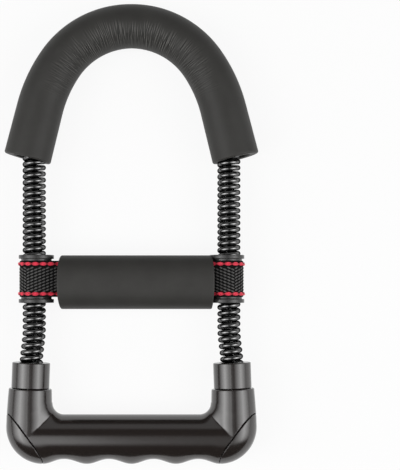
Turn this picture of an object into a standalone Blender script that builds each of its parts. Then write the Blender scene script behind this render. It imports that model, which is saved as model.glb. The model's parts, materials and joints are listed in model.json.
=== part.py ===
"""Wrist trainer: a foam bow on two coil springs, a sliding centre pad on a webbing strap, and a grip.

It lies flat on a surface: +Y runs from the grip to the bow, +X to the right as it is seen from
above, +Z up. The origin is the middle of the footprint. Sizes are in metres.
"""
import math

import bmesh
import bpy
from mathutils import Vector

MM = 0.001
GAP = 0.3 * MM
SIDES = {"left": -1, "right": 1}
TURNED_SIDES = 20

# Whole object
LENGTH = 408.6 * MM
HALF_DEPTH = 20.6 * MM
CUSHION_SINK = 0.5 * MM

# Foam bow: crown arc, shoulder arc and straight leg on each half
FOAM_CROWN_RADIUS = 19.3 * MM
FOAM_END_RADIUS = 21.0 * MM
CROWN_BEND_RADIUS = 76.8 * MM
CROWN_ANGLE = math.radians(55.4)
SHOULDER_BEND_RADIUS = 126.5 * MM
LEG_LEAN = math.radians(14.2)
LEG_LENGTH = 45.0 * MM
FOAM_EDGE = 1.8 * MM
FOAM_SIDES = 20
MOUTH_RADIUS = 14.0 * MM
MOUTH_DEPTH = 16.0 * MM
MOUTH_INSET = 1.2 * MM

# Springs
SPRING_X = 86.6 * MM
SPRING_RADIUS = 10.4 * MM
WIRE_DIAMETER = 4.1 * MM
UPPER_PITCH = 5.45 * MM
LOWER_PITCH = 5.8 * MM
SPRING_IN_FOAM = 17.0 * MM
COIL_POINTS = 8
FLEX_LENGTH = 30.0 * MM

# Steel bow rod inside the foam
ROD_IN_SPRING = 13.0 * MM

# Centre pad on its strap
PAD_HEIGHT = 47.8 * MM
PAD_LENGTH = 137.0 * MM
PAD_TOP_BELOW_ORIGIN = 18.8 * MM
PAD_SHIFT = 4.7 * MM
PAD_END_BULGE = 1.8 * MM
PAD_EDGE = 3.0 * MM
PAD_EDGE_DROP = 1.0 * MM
PAD_SIDES = 20
STRAP_WIDTH = 32.0 * MM
STRAP_THICKNESS = 1.2 * MM
STRAP_CORE = 5.2 * MM
STRAP_NARROW_LENGTH = 112.0 * MM
STRAP_LAP = 36.0 * MM
THREAD_WIDTH = 3.2 * MM
THREAD_THICKNESS = 0.5 * MM
THREAD_SPACING = 26.4 * MM
PAD_PLAY = 5.5 * MM
PAD_SQUARENESS = 0.8

# Flanged sleeves that run on the springs
SLEEVE_LENGTH = 42.5 * MM
SLEEVE_OFFSET = 1.9 * MM
SLEEVE_ABOVE_PAD_MIDDLE = 2.9 * MM
SLEEVE_WALL = 1.0 * MM
FLANGE_RADIUS = 15.6 * MM
FLANGE_THICKNESS = 3.4 * MM

# Handle: grip bar between two leaning sockets
CROSSING_X = 91.6 * MM
SOCKET_LEAN = math.radians(2.0)
BAR_TOP = 20.6 * MM
BAR_UNDERSIDE = 21.1 * MM
FINGER_RISE = 2.3 * MM
FINGER_PITCH = 39.6 * MM
FINGER_RIDGES = 5
SOCKET_HEIGHT = 43.6 * MM
SOCKET_TOP_RADIUS = 19.0 * MM
SOCKET_BASE_RADIUS = 20.1 * MM
SOCKET_TAPER_LENGTH = 21.0 * MM
SOCKET_BELOW_AXIS = 4.0 * MM
HANDLE_WALL = 2.6 * MM
INNER_FILLET = 10.0 * MM
FILLET_WIDTH = 14.0 * MM
FILLET_DEPTH = 13.0 * MM
BAR_SIDES = 20

# Corner caps
CORNER_RADIUS = 33.0 * MM
CAP_SEAM_ANGLE = math.radians(54.4)
CAP_SEAM_OFFSET = 4.0 * MM
CAP_SEAM_SLANT = math.radians(17.3)
CAP_WALL = 2.4 * MM
CAP_CUT_OFF = 2.0 * MM
TONGUE_WIDTH = 9.0 * MM
TONGUE_LENGTH = 9.0 * MM
TONGUE_THICKNESS = 2.0 * MM
TONGUE_FOOT = 2.6 * MM

# Socket collars and what holds the springs in them
COLLAR_HEIGHT = 23.2 * MM
COLLAR_RADIUS = 16.75 * MM
COLLAR_BORE = 11.2 * MM
COLLAR_SPIGOT_RADIUS = 14.6 * MM
COLLAR_SPIGOT_LENGTH = 7.0 * MM
ANCHOR_FLANGE = 2.6 * MM
ANCHOR_STEM = 22.0 * MM
SOCKET_FLOOR = 3.0 * MM
SCREW_RADIUS = 2.5 * MM
SCREW_LENGTH = 22.0 * MM
SCREW_HEAD_RADIUS = 4.6 * MM
SCREW_HEAD_HEIGHT = 3.2 * MM
SCREW_SOCKET_RADIUS = 2.3 * MM
WASHER_RADIUS = 7.0 * MM
WASHER_THICKNESS = 1.2 * MM

# Values that follow from the ones above
BAR_Y = -LENGTH / 2 + BAR_UNDERSIDE + FINGER_RISE
CROWN_Y = LENGTH / 2 - FOAM_CROWN_RADIUS
FOAM_HALF_DEPTH = HALF_DEPTH + CUSHION_SINK
COLLAR_TOP = SOCKET_HEIGHT + COLLAR_HEIGHT
COLLAR_TOP_Y = BAR_Y + COLLAR_TOP * math.cos(SOCKET_LEAN)
WIRE_RADIUS = WIRE_DIAMETER / 2
COIL_RADIUS = SPRING_RADIUS - WIRE_RADIUS
COIL_CORE = COIL_RADIUS * math.cos(math.pi / COIL_POINTS) - WIRE_RADIUS
ROD_RADIUS = COIL_CORE - GAP
PAD_Y = -PAD_TOP_BELOW_ORIGIN - PAD_HEIGHT / 2
SLEEVE_X = SPRING_X - SLEEVE_OFFSET
SLEEVE_BORE = SPRING_RADIUS + SLEEVE_OFFSET + GAP
BARREL_RADIUS = SLEEVE_BORE + SLEEVE_WALL
STRAP_INNER = BARREL_RADIUS + GAP
STRAP_OUTER = STRAP_INNER + STRAP_THICKNESS
THREAD_INNER = STRAP_OUTER + GAP
THREAD_OUTER = THREAD_INNER + THREAD_THICKNESS
SLEEVE_Y = PAD_Y + SLEEVE_ABOVE_PAD_MIDDLE
FLOOR_TOP = SOCKET_HEIGHT - COLLAR_SPIGOT_LENGTH - GAP
ANCHOR_BOTTOM = FLOOR_TOP + GAP
ANCHOR_SHOULDER = ANCHOR_BOTTOM + ANCHOR_FLANGE
SPRING_BOTTOM_Y = BAR_Y + (ANCHOR_SHOULDER + GAP) * math.cos(SOCKET_LEAN)
FLOOR_BOTTOM = FLOOR_TOP - SOCKET_FLOOR
WASHER_TOP = FLOOR_BOTTOM - GAP
SCREW_SEAT = WASHER_TOP - WASHER_THICKNESS - GAP
CAVITY_RADIUS = SOCKET_BASE_RADIUS - HANDLE_WALL
CORNER_Y = -LENGTH / 2 + CORNER_RADIUS
FLEX_BOTTOM_Y = COLLAR_TOP_Y + GAP
FLEX_TOP_Y = FLEX_BOTTOM_Y + FLEX_LENGTH
LONG = 120.0 * MM


def reset():
    for item in list(bpy.data.objects):
        bpy.data.objects.remove(item)


def collection(name):
    group = bpy.data.collections.new(name)
    bpy.context.scene.collection.children.link(group)
    return group


reset()
PARTS = collection("wrist_trainer")
CUTTERS = collection("cutters")


def finish(name, colour, roughness, metallic=0.0):
    """One plain material."""
    made = bpy.data.materials.new(name)
    made.use_nodes = True
    shader = made.node_tree.nodes["Principled BSDF"]
    shader.inputs["Base Color"].default_value = (*colour, 1.0)
    shader.inputs["Roughness"].default_value = roughness
    shader.inputs["Metallic"].default_value = metallic
    return made


FOAM = finish("charcoal_foam", (0.050, 0.048, 0.045), 0.85)
STEEL = finish("black_plated_steel", (0.060, 0.060, 0.060), 0.25, 1.0)
BRIGHT_STEEL = finish("zinc_plated_steel", (0.55, 0.55, 0.54), 0.35, 1.0)
GLOSS = finish("gloss_black_plastic", (0.022, 0.021, 0.021), 0.22)
SATIN = finish("satin_black_plastic", (0.040, 0.040, 0.040), 0.45)
WEBBING = finish("black_webbing", (0.030, 0.030, 0.030), 0.80)
RED_THREAD = finish("red_thread", (0.60, 0.012, 0.035), 0.60)


def add(name, data, material=None):
    """A part when it has a material, else a hidden cutter."""
    made = bpy.data.objects.new(name, data)
    if material:
        data.materials.append(material)
        PARTS.objects.link(made)
    else:
        CUTTERS.objects.link(made)
        made.hide_render = True
        made.display_type = "WIRE"
    return made


def smooth(part, angle=math.radians(35)):
    part.data.shade_smooth()
    part.data.set_sharp_from_angle(angle=angle)


def loft(name, rings, material=None, curved_ends=False):
    """A closed skin over rings of points that all have the same count."""
    mesh = bmesh.new()
    loops = [[mesh.verts.new(point) for point in ring] for ring in rings]
    count = len(loops[0])
    for low, high in zip(loops, loops[1:]):
        for i in range(count):
            j = (i + 1) % count
            mesh.faces.new((low[i], low[j], high[j], high[i]))
    ends = [mesh.faces.new(loops[0]), mesh.faces.new(loops[-1])]
    if curved_ends:
        bmesh.ops.poke(mesh, faces=ends)
    bmesh.ops.recalc_face_normals(mesh, faces=mesh.faces)
    data = bpy.data.meshes.new(name)
    mesh.to_mesh(data)
    mesh.free()
    made = add(name, data, material)
    smooth(made)
    return made


def turned(name, profile, material=None, sides=TURNED_SIDES, closed=False):
    """A profile of (radius, height), top to bottom on its outer side, turned about local Z."""
    data = bpy.data.meshes.new(name)
    edges = [(i, i + 1) for i in range(len(profile) - 1)]
    if closed:
        edges.append((len(profile) - 1, 0))
    data.from_pydata([(radius, 0, height) for radius, height in profile], edges, [])
    made = add(name, data, material)
    screw = made.modifiers.new("turn", "SCREW")
    screw.steps = sides
    screw.render_steps = sides
    screw.use_merge_vertices = True
    screw.merge_threshold = 0.00001
    return made


def tube(name, points, radius, resolution, material=None):
    """A round rod along a path of points."""
    data = bpy.data.curves.new(name, "CURVE")
    data.dimensions = "3D"
    data.bevel_depth = radius
    data.bevel_resolution = resolution
    data.use_fill_caps = True
    spline = data.splines.new("POLY")
    spline.points.add(len(points) - 1)
    for place, point in zip(spline.points, points):
        place.co = (*point, 1.0)
    return add(name, data, material)


def settle(part):
    """Applies a mesh piece's modifiers and shades its round faces smooth."""
    graph = bpy.context.evaluated_depsgraph_get()
    data = bpy.data.meshes.new_from_object(part.evaluated_get(graph))
    part.modifiers.clear()
    part.data = data
    smooth(part)


def as_mesh(curve):
    """The same rod as a mesh, its caps joined to its sides, so that it can cut."""
    graph = bpy.context.evaluated_depsgraph_get()
    data = bpy.data.meshes.new_from_object(curve.evaluated_get(graph))
    mesh = bmesh.new()
    mesh.from_mesh(data)
    bmesh.ops.remove_doubles(mesh, verts=mesh.verts, dist=0.00001)
    mesh.to_mesh(data)
    mesh.free()
    name = curve.name
    place = curve.matrix_world.copy()
    bpy.data.objects.remove(curve)
    made = add(name, data)
    made.matrix_world = place
    return made


def cube(name, size, centre, turn=0.0, material=None):
    mesh = bmesh.new()
    bmesh.ops.create_cube(mesh, size=1.0)
    bmesh.ops.scale(mesh, vec=size, verts=mesh.verts)
    data = bpy.data.meshes.new(name)
    mesh.to_mesh(data)
    mesh.free()
    made = add(name, data, material)
    made.location = centre
    made.rotation_euler = (0, 0, turn)
    return made


def boolean(part, operation, *tools):
    for tool in tools:
        step = part.modifiers.new(tool.name, "BOOLEAN")
        step.operation = operation
        step.object = tool


def oval(centre_y, up, down, depth, sides, power=1.0):
    """Points (y, z) round a section whose upper and lower halves can differ."""
    points = []
    for i in range(sides):
        angle = 2 * math.pi * i / sides
        rise = math.copysign(abs(math.sin(angle)) ** power, math.sin(angle))
        front = math.copysign(abs(math.cos(angle)) ** power, math.cos(angle))
        points.append((centre_y + rise * (up if rise > 0 else down), HALF_DEPTH + front * depth))
    return points


def bow_point(travel):
    """Place and heading of the foam's middle line, a distance from the crown along its right half."""
    crown = CROWN_BEND_RADIUS * CROWN_ANGLE
    leg_angle = math.pi / 2 - LEG_LEAN
    shoulder = SHOULDER_BEND_RADIUS * (leg_angle - CROWN_ANGLE)
    if travel <= crown:
        angle = travel / CROWN_BEND_RADIUS
        x = CROWN_BEND_RADIUS * math.sin(angle)
        y = CROWN_Y - CROWN_BEND_RADIUS * (1 - math.cos(angle))
        return x, y, angle
    x, y, angle = bow_point(crown)
    turn = min(travel - crown, shoulder) / SHOULDER_BEND_RADIUS
    x += SHOULDER_BEND_RADIUS * (math.sin(angle + turn) - math.sin(angle))
    y -= SHOULDER_BEND_RADIUS * (math.cos(angle) - math.cos(angle + turn))
    angle += turn
    straight = max(0.0, travel - crown - shoulder)
    return x + straight * math.cos(angle), y - straight * math.sin(angle), angle


BOW_HALF = (CROWN_BEND_RADIUS * CROWN_ANGLE + LEG_LENGTH
            + SHOULDER_BEND_RADIUS * (math.pi / 2 - LEG_LEAN - CROWN_ANGLE))
MOUTH_X, MOUTH_Y = bow_point(BOW_HALF)[:2]
SPRING_TOP_Y = MOUTH_Y + SPRING_IN_FOAM
ROD_END_Y = SPRING_TOP_Y - ROD_IN_SPRING


def rod_path(end_y):
    """Two straight legs on the springs' axes, joined by a half circle."""
    steps = 18
    middle_y = CROWN_Y - SPRING_X
    path = [Vector((-SPRING_X, end_y, HALF_DEPTH))]
    for i in range(steps + 1):
        angle = math.pi - math.pi * i / steps
        x = SPRING_X * math.cos(angle)
        path.append(Vector((x, middle_y + SPRING_X * math.sin(angle), HALF_DEPTH)))
    path.append(Vector((SPRING_X, end_y, HALF_DEPTH)))
    return path


def floor_slab(name):
    """Cuts a cushion flat where it lies on the surface."""
    return cube(name, (4 * LONG, 5 * LONG, LONG), (0, 0, -LONG / 2))


def upright(part, x, y, side=0):
    """Stands a turned piece along Y at (x, y), leaning as its socket does when a side is given."""
    part.location = (x, y, HALF_DEPTH)
    part.rotation_euler = (-math.pi / 2, 0, side * SOCKET_LEAN)


def make_foam_bow():
    stations = 11
    rings = []
    for i in range(-stations - 1, stations + 2):
        edge = abs(i) > stations
        travel = BOW_HALF if edge else (BOW_HALF - FOAM_EDGE) * abs(i) / stations
        x, y, heading = bow_point(travel)
        side = -1 if i < 0 else 1
        radius = FOAM_CROWN_RADIUS + (FOAM_END_RADIUS - FOAM_CROWN_RADIUS) * travel / BOW_HALF
        radius -= FOAM_EDGE if edge else 0.0
        depth = FOAM_HALF_DEPTH - (FOAM_EDGE if edge else 0.0)
        ring = []
        for out, z in oval(0.0, radius, radius, depth, FOAM_SIDES):
            ring.append((side * (x + out * math.sin(heading)), y + out * math.cos(heading), z))
        rings.append(ring)
    bow = loft("arch_foam", rings, FOAM)
    bore = as_mesh(tube("rod_bore", rod_path(SPRING_TOP_Y - WIRE_DIAMETER), ROD_RADIUS + GAP, 2))
    boolean(bow, "DIFFERENCE", floor_slab("bow_floor"), bore)
    pocket_radius = SPRING_RADIUS + GAP / math.cos(math.pi / TURNED_SIDES)
    pocket_depth = SPRING_IN_FOAM + GAP
    for name, side in SIDES.items():
        pocket = turned(name + "_spring_pocket", [
            (0, pocket_depth), (pocket_radius, pocket_depth),
            (pocket_radius, -LONG / 4), (0, -LONG / 4)])
        upright(pocket, side * SPRING_X, MOUTH_Y)
        slope = (MOUTH_RADIUS - pocket_radius) / MOUTH_DEPTH
        recess = turned(name + "_mouth", [
            (0, MOUTH_DEPTH), (pocket_radius, MOUTH_DEPTH),
            (MOUTH_RADIUS + slope * MOUTH_DEPTH, -MOUTH_DEPTH), (0, -MOUTH_DEPTH)])
        recess.location = (side * (MOUTH_X - MOUTH_INSET), MOUTH_Y, HALF_DEPTH)
        recess.rotation_euler = (-math.pi / 2, 0, side * LEG_LEAN)
        boolean(bow, "DIFFERENCE", pocket, recess)
    return bow


def spring_axis_x(y):
    """Straight and parallel above the flex length, and in line with the leaning socket below it."""
    low_x = CROSSING_X - (FLEX_BOTTOM_Y - BAR_Y) * math.tan(SOCKET_LEAN)
    if y >= FLEX_TOP_Y:
        return SPRING_X
    if y <= FLEX_BOTTOM_Y:
        return CROSSING_X - (y - BAR_Y) * math.tan(SOCKET_LEAN)
    share = (y - FLEX_BOTTOM_Y) / FLEX_LENGTH
    ease = share * share * (3 - 2 * share)
    slope = -math.tan(SOCKET_LEAN) * FLEX_LENGTH * (share ** 3 - 2 * share ** 2 + share)
    return low_x + (SPRING_X - low_x) * ease + slope


def coil(side):
    """A right-handed helix, a little more open below the pad than above it."""
    low = SPRING_BOTTOM_Y + WIRE_RADIUS
    high = SPRING_TOP_Y - WIRE_RADIUS
    low_turns = (SLEEVE_Y - low) / LOWER_PITCH
    high_turns = (high - SLEEVE_Y) / UPPER_PITCH
    count = round((low_turns + high_turns) * COIL_POINTS)
    points = []
    for i in range(count + 1):
        turn = i / COIL_POINTS
        y = low + turn * LOWER_PITCH
        if turn > low_turns:
            y = SLEEVE_Y + (turn - low_turns) * UPPER_PITCH
        angle = 2 * math.pi * turn
        x = side * spring_axis_x(y) + COIL_RADIUS * math.sin(angle)
        points.append(Vector((x, y, HALF_DEPTH + COIL_RADIUS * math.cos(angle))))
    return points


def least_gap(points):
    """The nearest that the wire comes to itself, between points at least half a turn apart."""
    apart = COIL_POINTS // 2 + 1
    nearest = LONG
    for i, point in enumerate(points):
        for other in points[i + apart:i + 3 * COIL_POINTS]:
            nearest = min(nearest, (point - other).length)
    return nearest - WIRE_DIAMETER


def make_springs_and_rod():
    for name, side in SIDES.items():
        points = coil(side)
        tube(name + "_spring", points, WIRE_RADIUS, 1, STEEL)
        print(name, "spring: least gap to itself, mm:", round(least_gap(points) / MM, 2))
    tube("bow_rod", rod_path(ROD_END_Y), ROD_RADIUS, 2, BRIGHT_STEEL)


def make_sleeves():
    top = SLEEVE_LENGTH / 2
    edge = 0.5 * MM
    for name, side in SIDES.items():
        sleeve = turned(name + "_sleeve", [
            (FLANGE_RADIUS - edge, top), (FLANGE_RADIUS, top - edge),
            (FLANGE_RADIUS, top - FLANGE_THICKNESS), (BARREL_RADIUS, top - FLANGE_THICKNESS),
            (BARREL_RADIUS, FLANGE_THICKNESS - top), (FLANGE_RADIUS, FLANGE_THICKNESS - top),
            (FLANGE_RADIUS, edge - top), (FLANGE_RADIUS - edge, -top),
            (SLEEVE_BORE, -top), (SLEEVE_BORE, top)], SATIN, sides=24, closed=True)
        upright(sleeve, side * SLEEVE_X, SLEEVE_Y)


def strap_line(radius):
    """Half gap of the flat stretch and slope of the taper, for one layer round the sleeves."""
    half = STRAP_CORE + radius - STRAP_INNER
    reach = SLEEVE_X - STRAP_NARROW_LENGTH / 2
    slope = math.asin(radius / math.hypot(reach, half)) - math.atan2(half, reach)
    return half, slope


def strap_outline(radius, lap=0.0):
    """Closed outline (x, z) round both sleeves, drawn together between them."""
    half, slope = strap_line(radius)
    narrow = STRAP_NARROW_LENGTH / 2
    steps = 12
    points = []
    for side in (1, -1):
        points.append((side * narrow, side * half))
        for i in range(steps + 1):
            angle = (math.pi / 2 + slope) * (1 - 2 * i / steps)
            x = SLEEVE_X + radius * math.cos(angle)
            points.append((side * x, side * radius * math.sin(angle)))
        points.append((side * narrow, -side * half))
        if lap and side == 1:
            for x, z in ((1, 0), (1, lap), (-1, lap), (-1, 0)):
                points.append((x * STRAP_LAP / 2, z - half))
    return points


def band(name, inner, outer, width, material, lap=0.0):
    """A flat band of webbing or thread between two radii, standing along Y."""
    data = bpy.data.curves.new(name, "CURVE")
    data.dimensions = "2D"
    data.fill_mode = "BOTH"
    data.extrude = width / 2
    for outline in (strap_outline(outer), strap_outline(inner, lap)):
        spline = data.splines.new("POLY")
        spline.points.add(len(outline) - 1)
        for place, (x, z) in zip(spline.points, outline):
            place.co = (x, z, 0, 1)
        spline.use_cyclic_u = True
    made = add(name, data, material)
    made.location = (0, SLEEVE_Y, HALF_DEPTH)
    made.rotation_euler = (math.pi / 2, 0, 0)
    return made


def make_strap():
    band("strap", STRAP_INNER, STRAP_OUTER, STRAP_WIDTH, WEBBING, lap=STRAP_THICKNESS)
    for name, side in (("upper", 1), ("lower", -1)):
        line = band(name + "_red_stitching", THREAD_INNER, THREAD_OUTER, THREAD_WIDTH, RED_THREAD)
        line.location.y += side * THREAD_SPACING / 2


def make_pad():
    half = PAD_LENGTH / 2
    left, right = PAD_SHIFT - half, PAD_SHIFT + half
    rings = []
    stations = ((left, 1, PAD_EDGE_DROP), (left + PAD_EDGE, 1, 0), (right - PAD_EDGE, -1, 0),
                (right, -1, PAD_EDGE_DROP))
    for x, inward, drop in stations:
        height = PAD_HEIGHT / 2 - drop
        ring = []
        for y, z in oval(PAD_Y, height, height, FOAM_HALF_DEPTH - drop, PAD_SIDES, PAD_SQUARENESS):
            bulge = PAD_END_BULGE * ((y - PAD_Y) / height) ** 2
            ring.append((x + inward * bulge, y, z))
        rings.append(ring)
    pad = loft("pad_foam", rings, FOAM, curved_ends=True)
    flat, slope = strap_line(THREAD_OUTER)
    bore_rings = []
    reach = PAD_LENGTH
    for x, play in ((-reach, PAD_PLAY), (-STRAP_NARROW_LENGTH / 2 + PAD_PLAY, PAD_PLAY),
                    (STRAP_NARROW_LENGTH / 2, 0.0), (reach, 0.0)):
        widening = max(0.0, abs(x) + play - STRAP_NARROW_LENGTH / 2)
        depth = flat + GAP + widening * math.tan(slope)
        width = STRAP_WIDTH / 2 + GAP
        bore_rings.append([(x, SLEEVE_Y + a * width, HALF_DEPTH + b * depth)
                           for a, b in ((1, 1), (-1, 1), (-1, -1), (1, -1))])
    boolean(pad, "DIFFERENCE", loft("strap_bore", bore_rings), floor_slab("pad_floor"))
    for name, side, play in (("left", -1, PAD_PLAY), ("right", 1, 0.0)):
        radius = FLANGE_RADIUS + GAP
        saddle = turned(name + "_pad_saddle", [
            (0, LONG / 2), (radius, LONG / 2), (radius, -LONG / 2), (0, -LONG / 2)], sides=32)
        upright(saddle, side * (SLEEVE_X - play), PAD_Y)
        boolean(pad, "DIFFERENCE", saddle)


def bar_rings(wall, spacing, reach, sides):
    """Sections of the grip bar, with its finger ridges on the lower side."""
    ridges = FINGER_PITCH * (FINGER_RIDGES - 1) / 2
    steps = round(ridges / spacing)
    places = [i * ridges / steps for i in range(-steps, steps + 1)]
    rings = []
    for x in [-reach, *places, reach]:
        wave = math.cos(2 * math.pi * x / FINGER_PITCH) if abs(x) < ridges else 1.0
        under = BAR_UNDERSIDE + FINGER_RISE * wave - wall
        section = oval(BAR_Y, BAR_TOP - wall, under, HALF_DEPTH - wall, sides)
        rings.append([(x, y, z) for y, z in section])
    return rings


def inner_fillet(name, side):
    """Fills the inside corner between socket and bar: an oval swept a quarter turn."""
    y = BAR_Y + BAR_TOP + INNER_FILLET - GAP
    socket_x = CROSSING_X - (y - BAR_Y) * math.tan(SOCKET_LEAN) - SOCKET_BASE_RADIUS
    x = socket_x - INNER_FILLET + GAP
    steps = 6
    past = math.radians(5)
    rings = []
    for i in range(steps + 1):
        angle = -past + (math.pi / 2 + 2 * past) * i / steps
        ring = []
        for out, z in oval(INNER_FILLET + FILLET_WIDTH, FILLET_WIDTH, FILLET_WIDTH, FILLET_DEPTH, 14):
            ring.append((side * (x + out * math.cos(angle)), y - out * math.sin(angle), z))
        rings.append(ring)
    return loft(name, rings)


def beyond_seam(name, side, gap=0.0):
    """Everything outside the seam of a corner cap, which reaches further in at front and back."""
    behind = gap - (LONG / 2) * math.tan(CAP_SEAM_SLANT)
    outline = [(gap, 0), (behind, LONG / 2), (LONG, LONG / 2), (LONG, -LONG / 2), (behind, -LONG / 2)]
    wedge = loft(name, [[(out, along, z) for out, z in outline] for along in (-LONG / 2, LONG / 2)])
    return at_seam(wedge, side)


def at_seam(piece, side):
    """Places a piece that is drawn about the seam: local X points out through the corner."""
    turn = seam_turn(side)
    piece.location = (side * CROSSING_X + CAP_SEAM_OFFSET * math.cos(turn),
                      BAR_Y + CAP_SEAM_OFFSET * math.sin(turn), HALF_DEPTH)
    piece.rotation_euler = (0, 0, turn)
    return piece


def seam_turn(side):
    """Heading of the seam's outward normal."""
    below = math.pi / 2 - CAP_SEAM_ANGLE
    return -below if side > 0 else math.pi + below


def make_grip():
    past_crossing = 0.5 * MM
    rim = 0.6 * MM
    below = SOCKET_BELOW_AXIS
    rings = bar_rings(0.0, FINGER_PITCH / 4, CROSSING_X + past_crossing, BAR_SIDES)
    grip = loft("grip_body", rings, GLOSS)
    for name, side in SIDES.items():
        socket = turned(name + "_socket", [
            (0, SOCKET_HEIGHT), (SOCKET_TOP_RADIUS - rim, SOCKET_HEIGHT),
            (SOCKET_TOP_RADIUS, SOCKET_HEIGHT - rim),
            (SOCKET_BASE_RADIUS, SOCKET_HEIGHT - SOCKET_TAPER_LENGTH),
            (SOCKET_BASE_RADIUS, -below), (0, -below)])
        upright(socket, side * CROSSING_X, BAR_Y, side)
        boolean(grip, "UNION", socket, inner_fillet(name + "_inner_fillet", side))
    bar_cavity = loft("bar_cavity", bar_rings(HANDLE_WALL, FINGER_PITCH / 2, LONG, 16))
    boolean(grip, "DIFFERENCE", bar_cavity)
    for name, side in SIDES.items():
        hole = SCREW_RADIUS + GAP
        seat = COLLAR_SPIGOT_RADIUS + GAP
        cavity = turned(name + "_corner_cavity", [
            (0, FLOOR_BOTTOM), (CAVITY_RADIUS, FLOOR_BOTTOM), (CAVITY_RADIUS, 0),
            (CAVITY_RADIUS - below, -below), (0, -below)])
        bore = turned(name + "_socket_bore", [
            (0, LONG), (seat, LONG), (seat, FLOOR_TOP), (hole, FLOOR_TOP), (hole, 0), (0, 0)])
        for cutter in (cavity, bore):
            upright(cutter, side * CROSSING_X, BAR_Y, side)
        boolean(grip, "DIFFERENCE", cavity, bore, beyond_seam(name + "_body_seam", side))


def corner_sweep(name, side, radius, nearest, past, material=None):
    """The rounded corner: the socket's circle swept down, round the corner's centre and along the bar.

    The circle is cut off at a nearest distance from that centre, which lies inside the grip.
    """
    middle = CORNER_RADIUS - SOCKET_BASE_RADIUS
    foot_y = CORNER_Y + middle * math.sin(SOCKET_LEAN)
    x = CROSSING_X - (foot_y - BAR_Y) * math.tan(SOCKET_LEAN) - middle * math.cos(SOCKET_LEAN)
    limit = math.acos((nearest - middle) / radius)
    sides = 13
    section = []
    for i in range(sides + 1):
        angle = limit * (1 - 2 * i / sides)
        section.append((middle + radius * math.cos(angle), HALF_DEPTH + radius * math.sin(angle)))
    steps = 8
    rings = []
    for i in range(-1, steps + 2):
        turn = -SOCKET_LEAN + (math.pi / 2 + SOCKET_LEAN) * min(max(i, 0), steps) / steps
        run = past if i < 0 else -past if i > steps else 0.0
        ring = []
        for out, z in section:
            across = x + out * math.cos(turn) + run * math.sin(turn)
            ring.append((side * across, CORNER_Y - out * math.sin(turn) + run * math.cos(turn), z))
        rings.append(ring)
    return loft(name, rings, material)


def cap_tongue(name, side, front):
    """A snap tongue on the cap's inner wall that reaches past the seam into the body."""
    outer = CAVITY_RADIUS - TONGUE_THICKNESS + GAP
    inner = outer - TONGUE_THICKNESS
    root = outer + TONGUE_FOOT
    seam = -outer * math.tan(CAP_SEAM_SLANT)
    back, foot, tip = seam + TONGUE_LENGTH / 3, seam + TONGUE_LENGTH / 9, seam - TONGUE_LENGTH * 2 / 3
    outline = [(back, inner), (back, root), (foot, root), (foot, outer), (tip, outer), (tip, inner)]
    half = TONGUE_WIDTH / 2
    rings = [[(out, along, front * z) for out, z in outline] for along in (-half, half)]
    return at_seam(loft(name, rings), side)


def make_caps():
    past = LONG / 4
    for name, side in SIDES.items():
        cap = corner_sweep(name + "_corner_cap", side, SOCKET_BASE_RADIUS, CAP_CUT_OFF, past, GLOSS)
        inner = SOCKET_BASE_RADIUS - CAP_WALL
        hollow = corner_sweep(name + "_cap_hollow", side, inner, CAP_CUT_OFF / 2, past + CAP_WALL)
        boolean(cap, "DIFFERENCE", hollow)
        boolean(cap, "INTERSECT", beyond_seam(name + "_cap_space", side, GAP))
        for place, front in (("_front_tongue", 1), ("_back_tongue", -1)):
            boolean(cap, "UNION", cap_tongue(name + place, side, front))


def make_spring_seats():
    """Collar, anchor, washer and screw of each socket."""
    rim = 0.8 * MM
    hole = SCREW_RADIUS + GAP
    spigot_top = SOCKET_HEIGHT + GAP
    stem_top = ANCHOR_SHOULDER + ANCHOR_STEM
    washer_bottom = WASHER_TOP - WASHER_THICKNESS
    screw_top = SCREW_SEAT + SCREW_LENGTH
    head_bottom = SCREW_SEAT - SCREW_HEAD_HEIGHT
    recess_top = head_bottom + SCREW_HEAD_HEIGHT / 2
    for name, side in SIDES.items():
        collar = turned(name + "_socket_collar", [
            (COLLAR_RADIUS - rim, COLLAR_TOP), (COLLAR_RADIUS, COLLAR_TOP - rim),
            (COLLAR_RADIUS, spigot_top), (COLLAR_SPIGOT_RADIUS, spigot_top),
            (COLLAR_SPIGOT_RADIUS, FLOOR_TOP + GAP), (COLLAR_BORE, FLOOR_TOP + GAP),
            (COLLAR_BORE, COLLAR_TOP)], GLOSS, closed=True)
        anchor = turned(name + "_spring_anchor", [
            (ROD_RADIUS - rim, stem_top), (ROD_RADIUS, stem_top - rim), (ROD_RADIUS, ANCHOR_SHOULDER),
            (COLLAR_BORE - GAP, ANCHOR_SHOULDER), (COLLAR_BORE - GAP, ANCHOR_BOTTOM),
            (hole, ANCHOR_BOTTOM), (hole, stem_top)], BRIGHT_STEEL, sides=16, closed=True)
        washer = turned(name + "_anchor_washer", [
            (WASHER_RADIUS, WASHER_TOP), (WASHER_RADIUS, washer_bottom),
            (hole, washer_bottom), (hole, WASHER_TOP)], BRIGHT_STEEL, sides=16, closed=True)
        screw = turned(name + "_anchor_screw", [
            (0, screw_top), (SCREW_RADIUS, screw_top), (SCREW_RADIUS, SCREW_SEAT),
            (SCREW_HEAD_RADIUS, SCREW_SEAT), (SCREW_HEAD_RADIUS, head_bottom + rim),
            (SCREW_HEAD_RADIUS - rim, head_bottom), (0, head_bottom)], BRIGHT_STEEL, sides=12)
        recess = turned(name + "_screw_recess", [
            (0, recess_top), (SCREW_SOCKET_RADIUS, recess_top),
            (SCREW_SOCKET_RADIUS, head_bottom - rim), (0, head_bottom - rim)], sides=6)
        boolean(screw, "DIFFERENCE", recess)
        for piece in (collar, anchor, washer, screw, recess):
            upright(piece, side * CROSSING_X, BAR_Y, side)


make_foam_bow()
make_springs_and_rod()
make_sleeves()
make_strap()
make_pad()
make_grip()
make_caps()
make_spring_seats()
for piece in PARTS.objects:
    if piece.type == "MESH":
        settle(piece)
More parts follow.
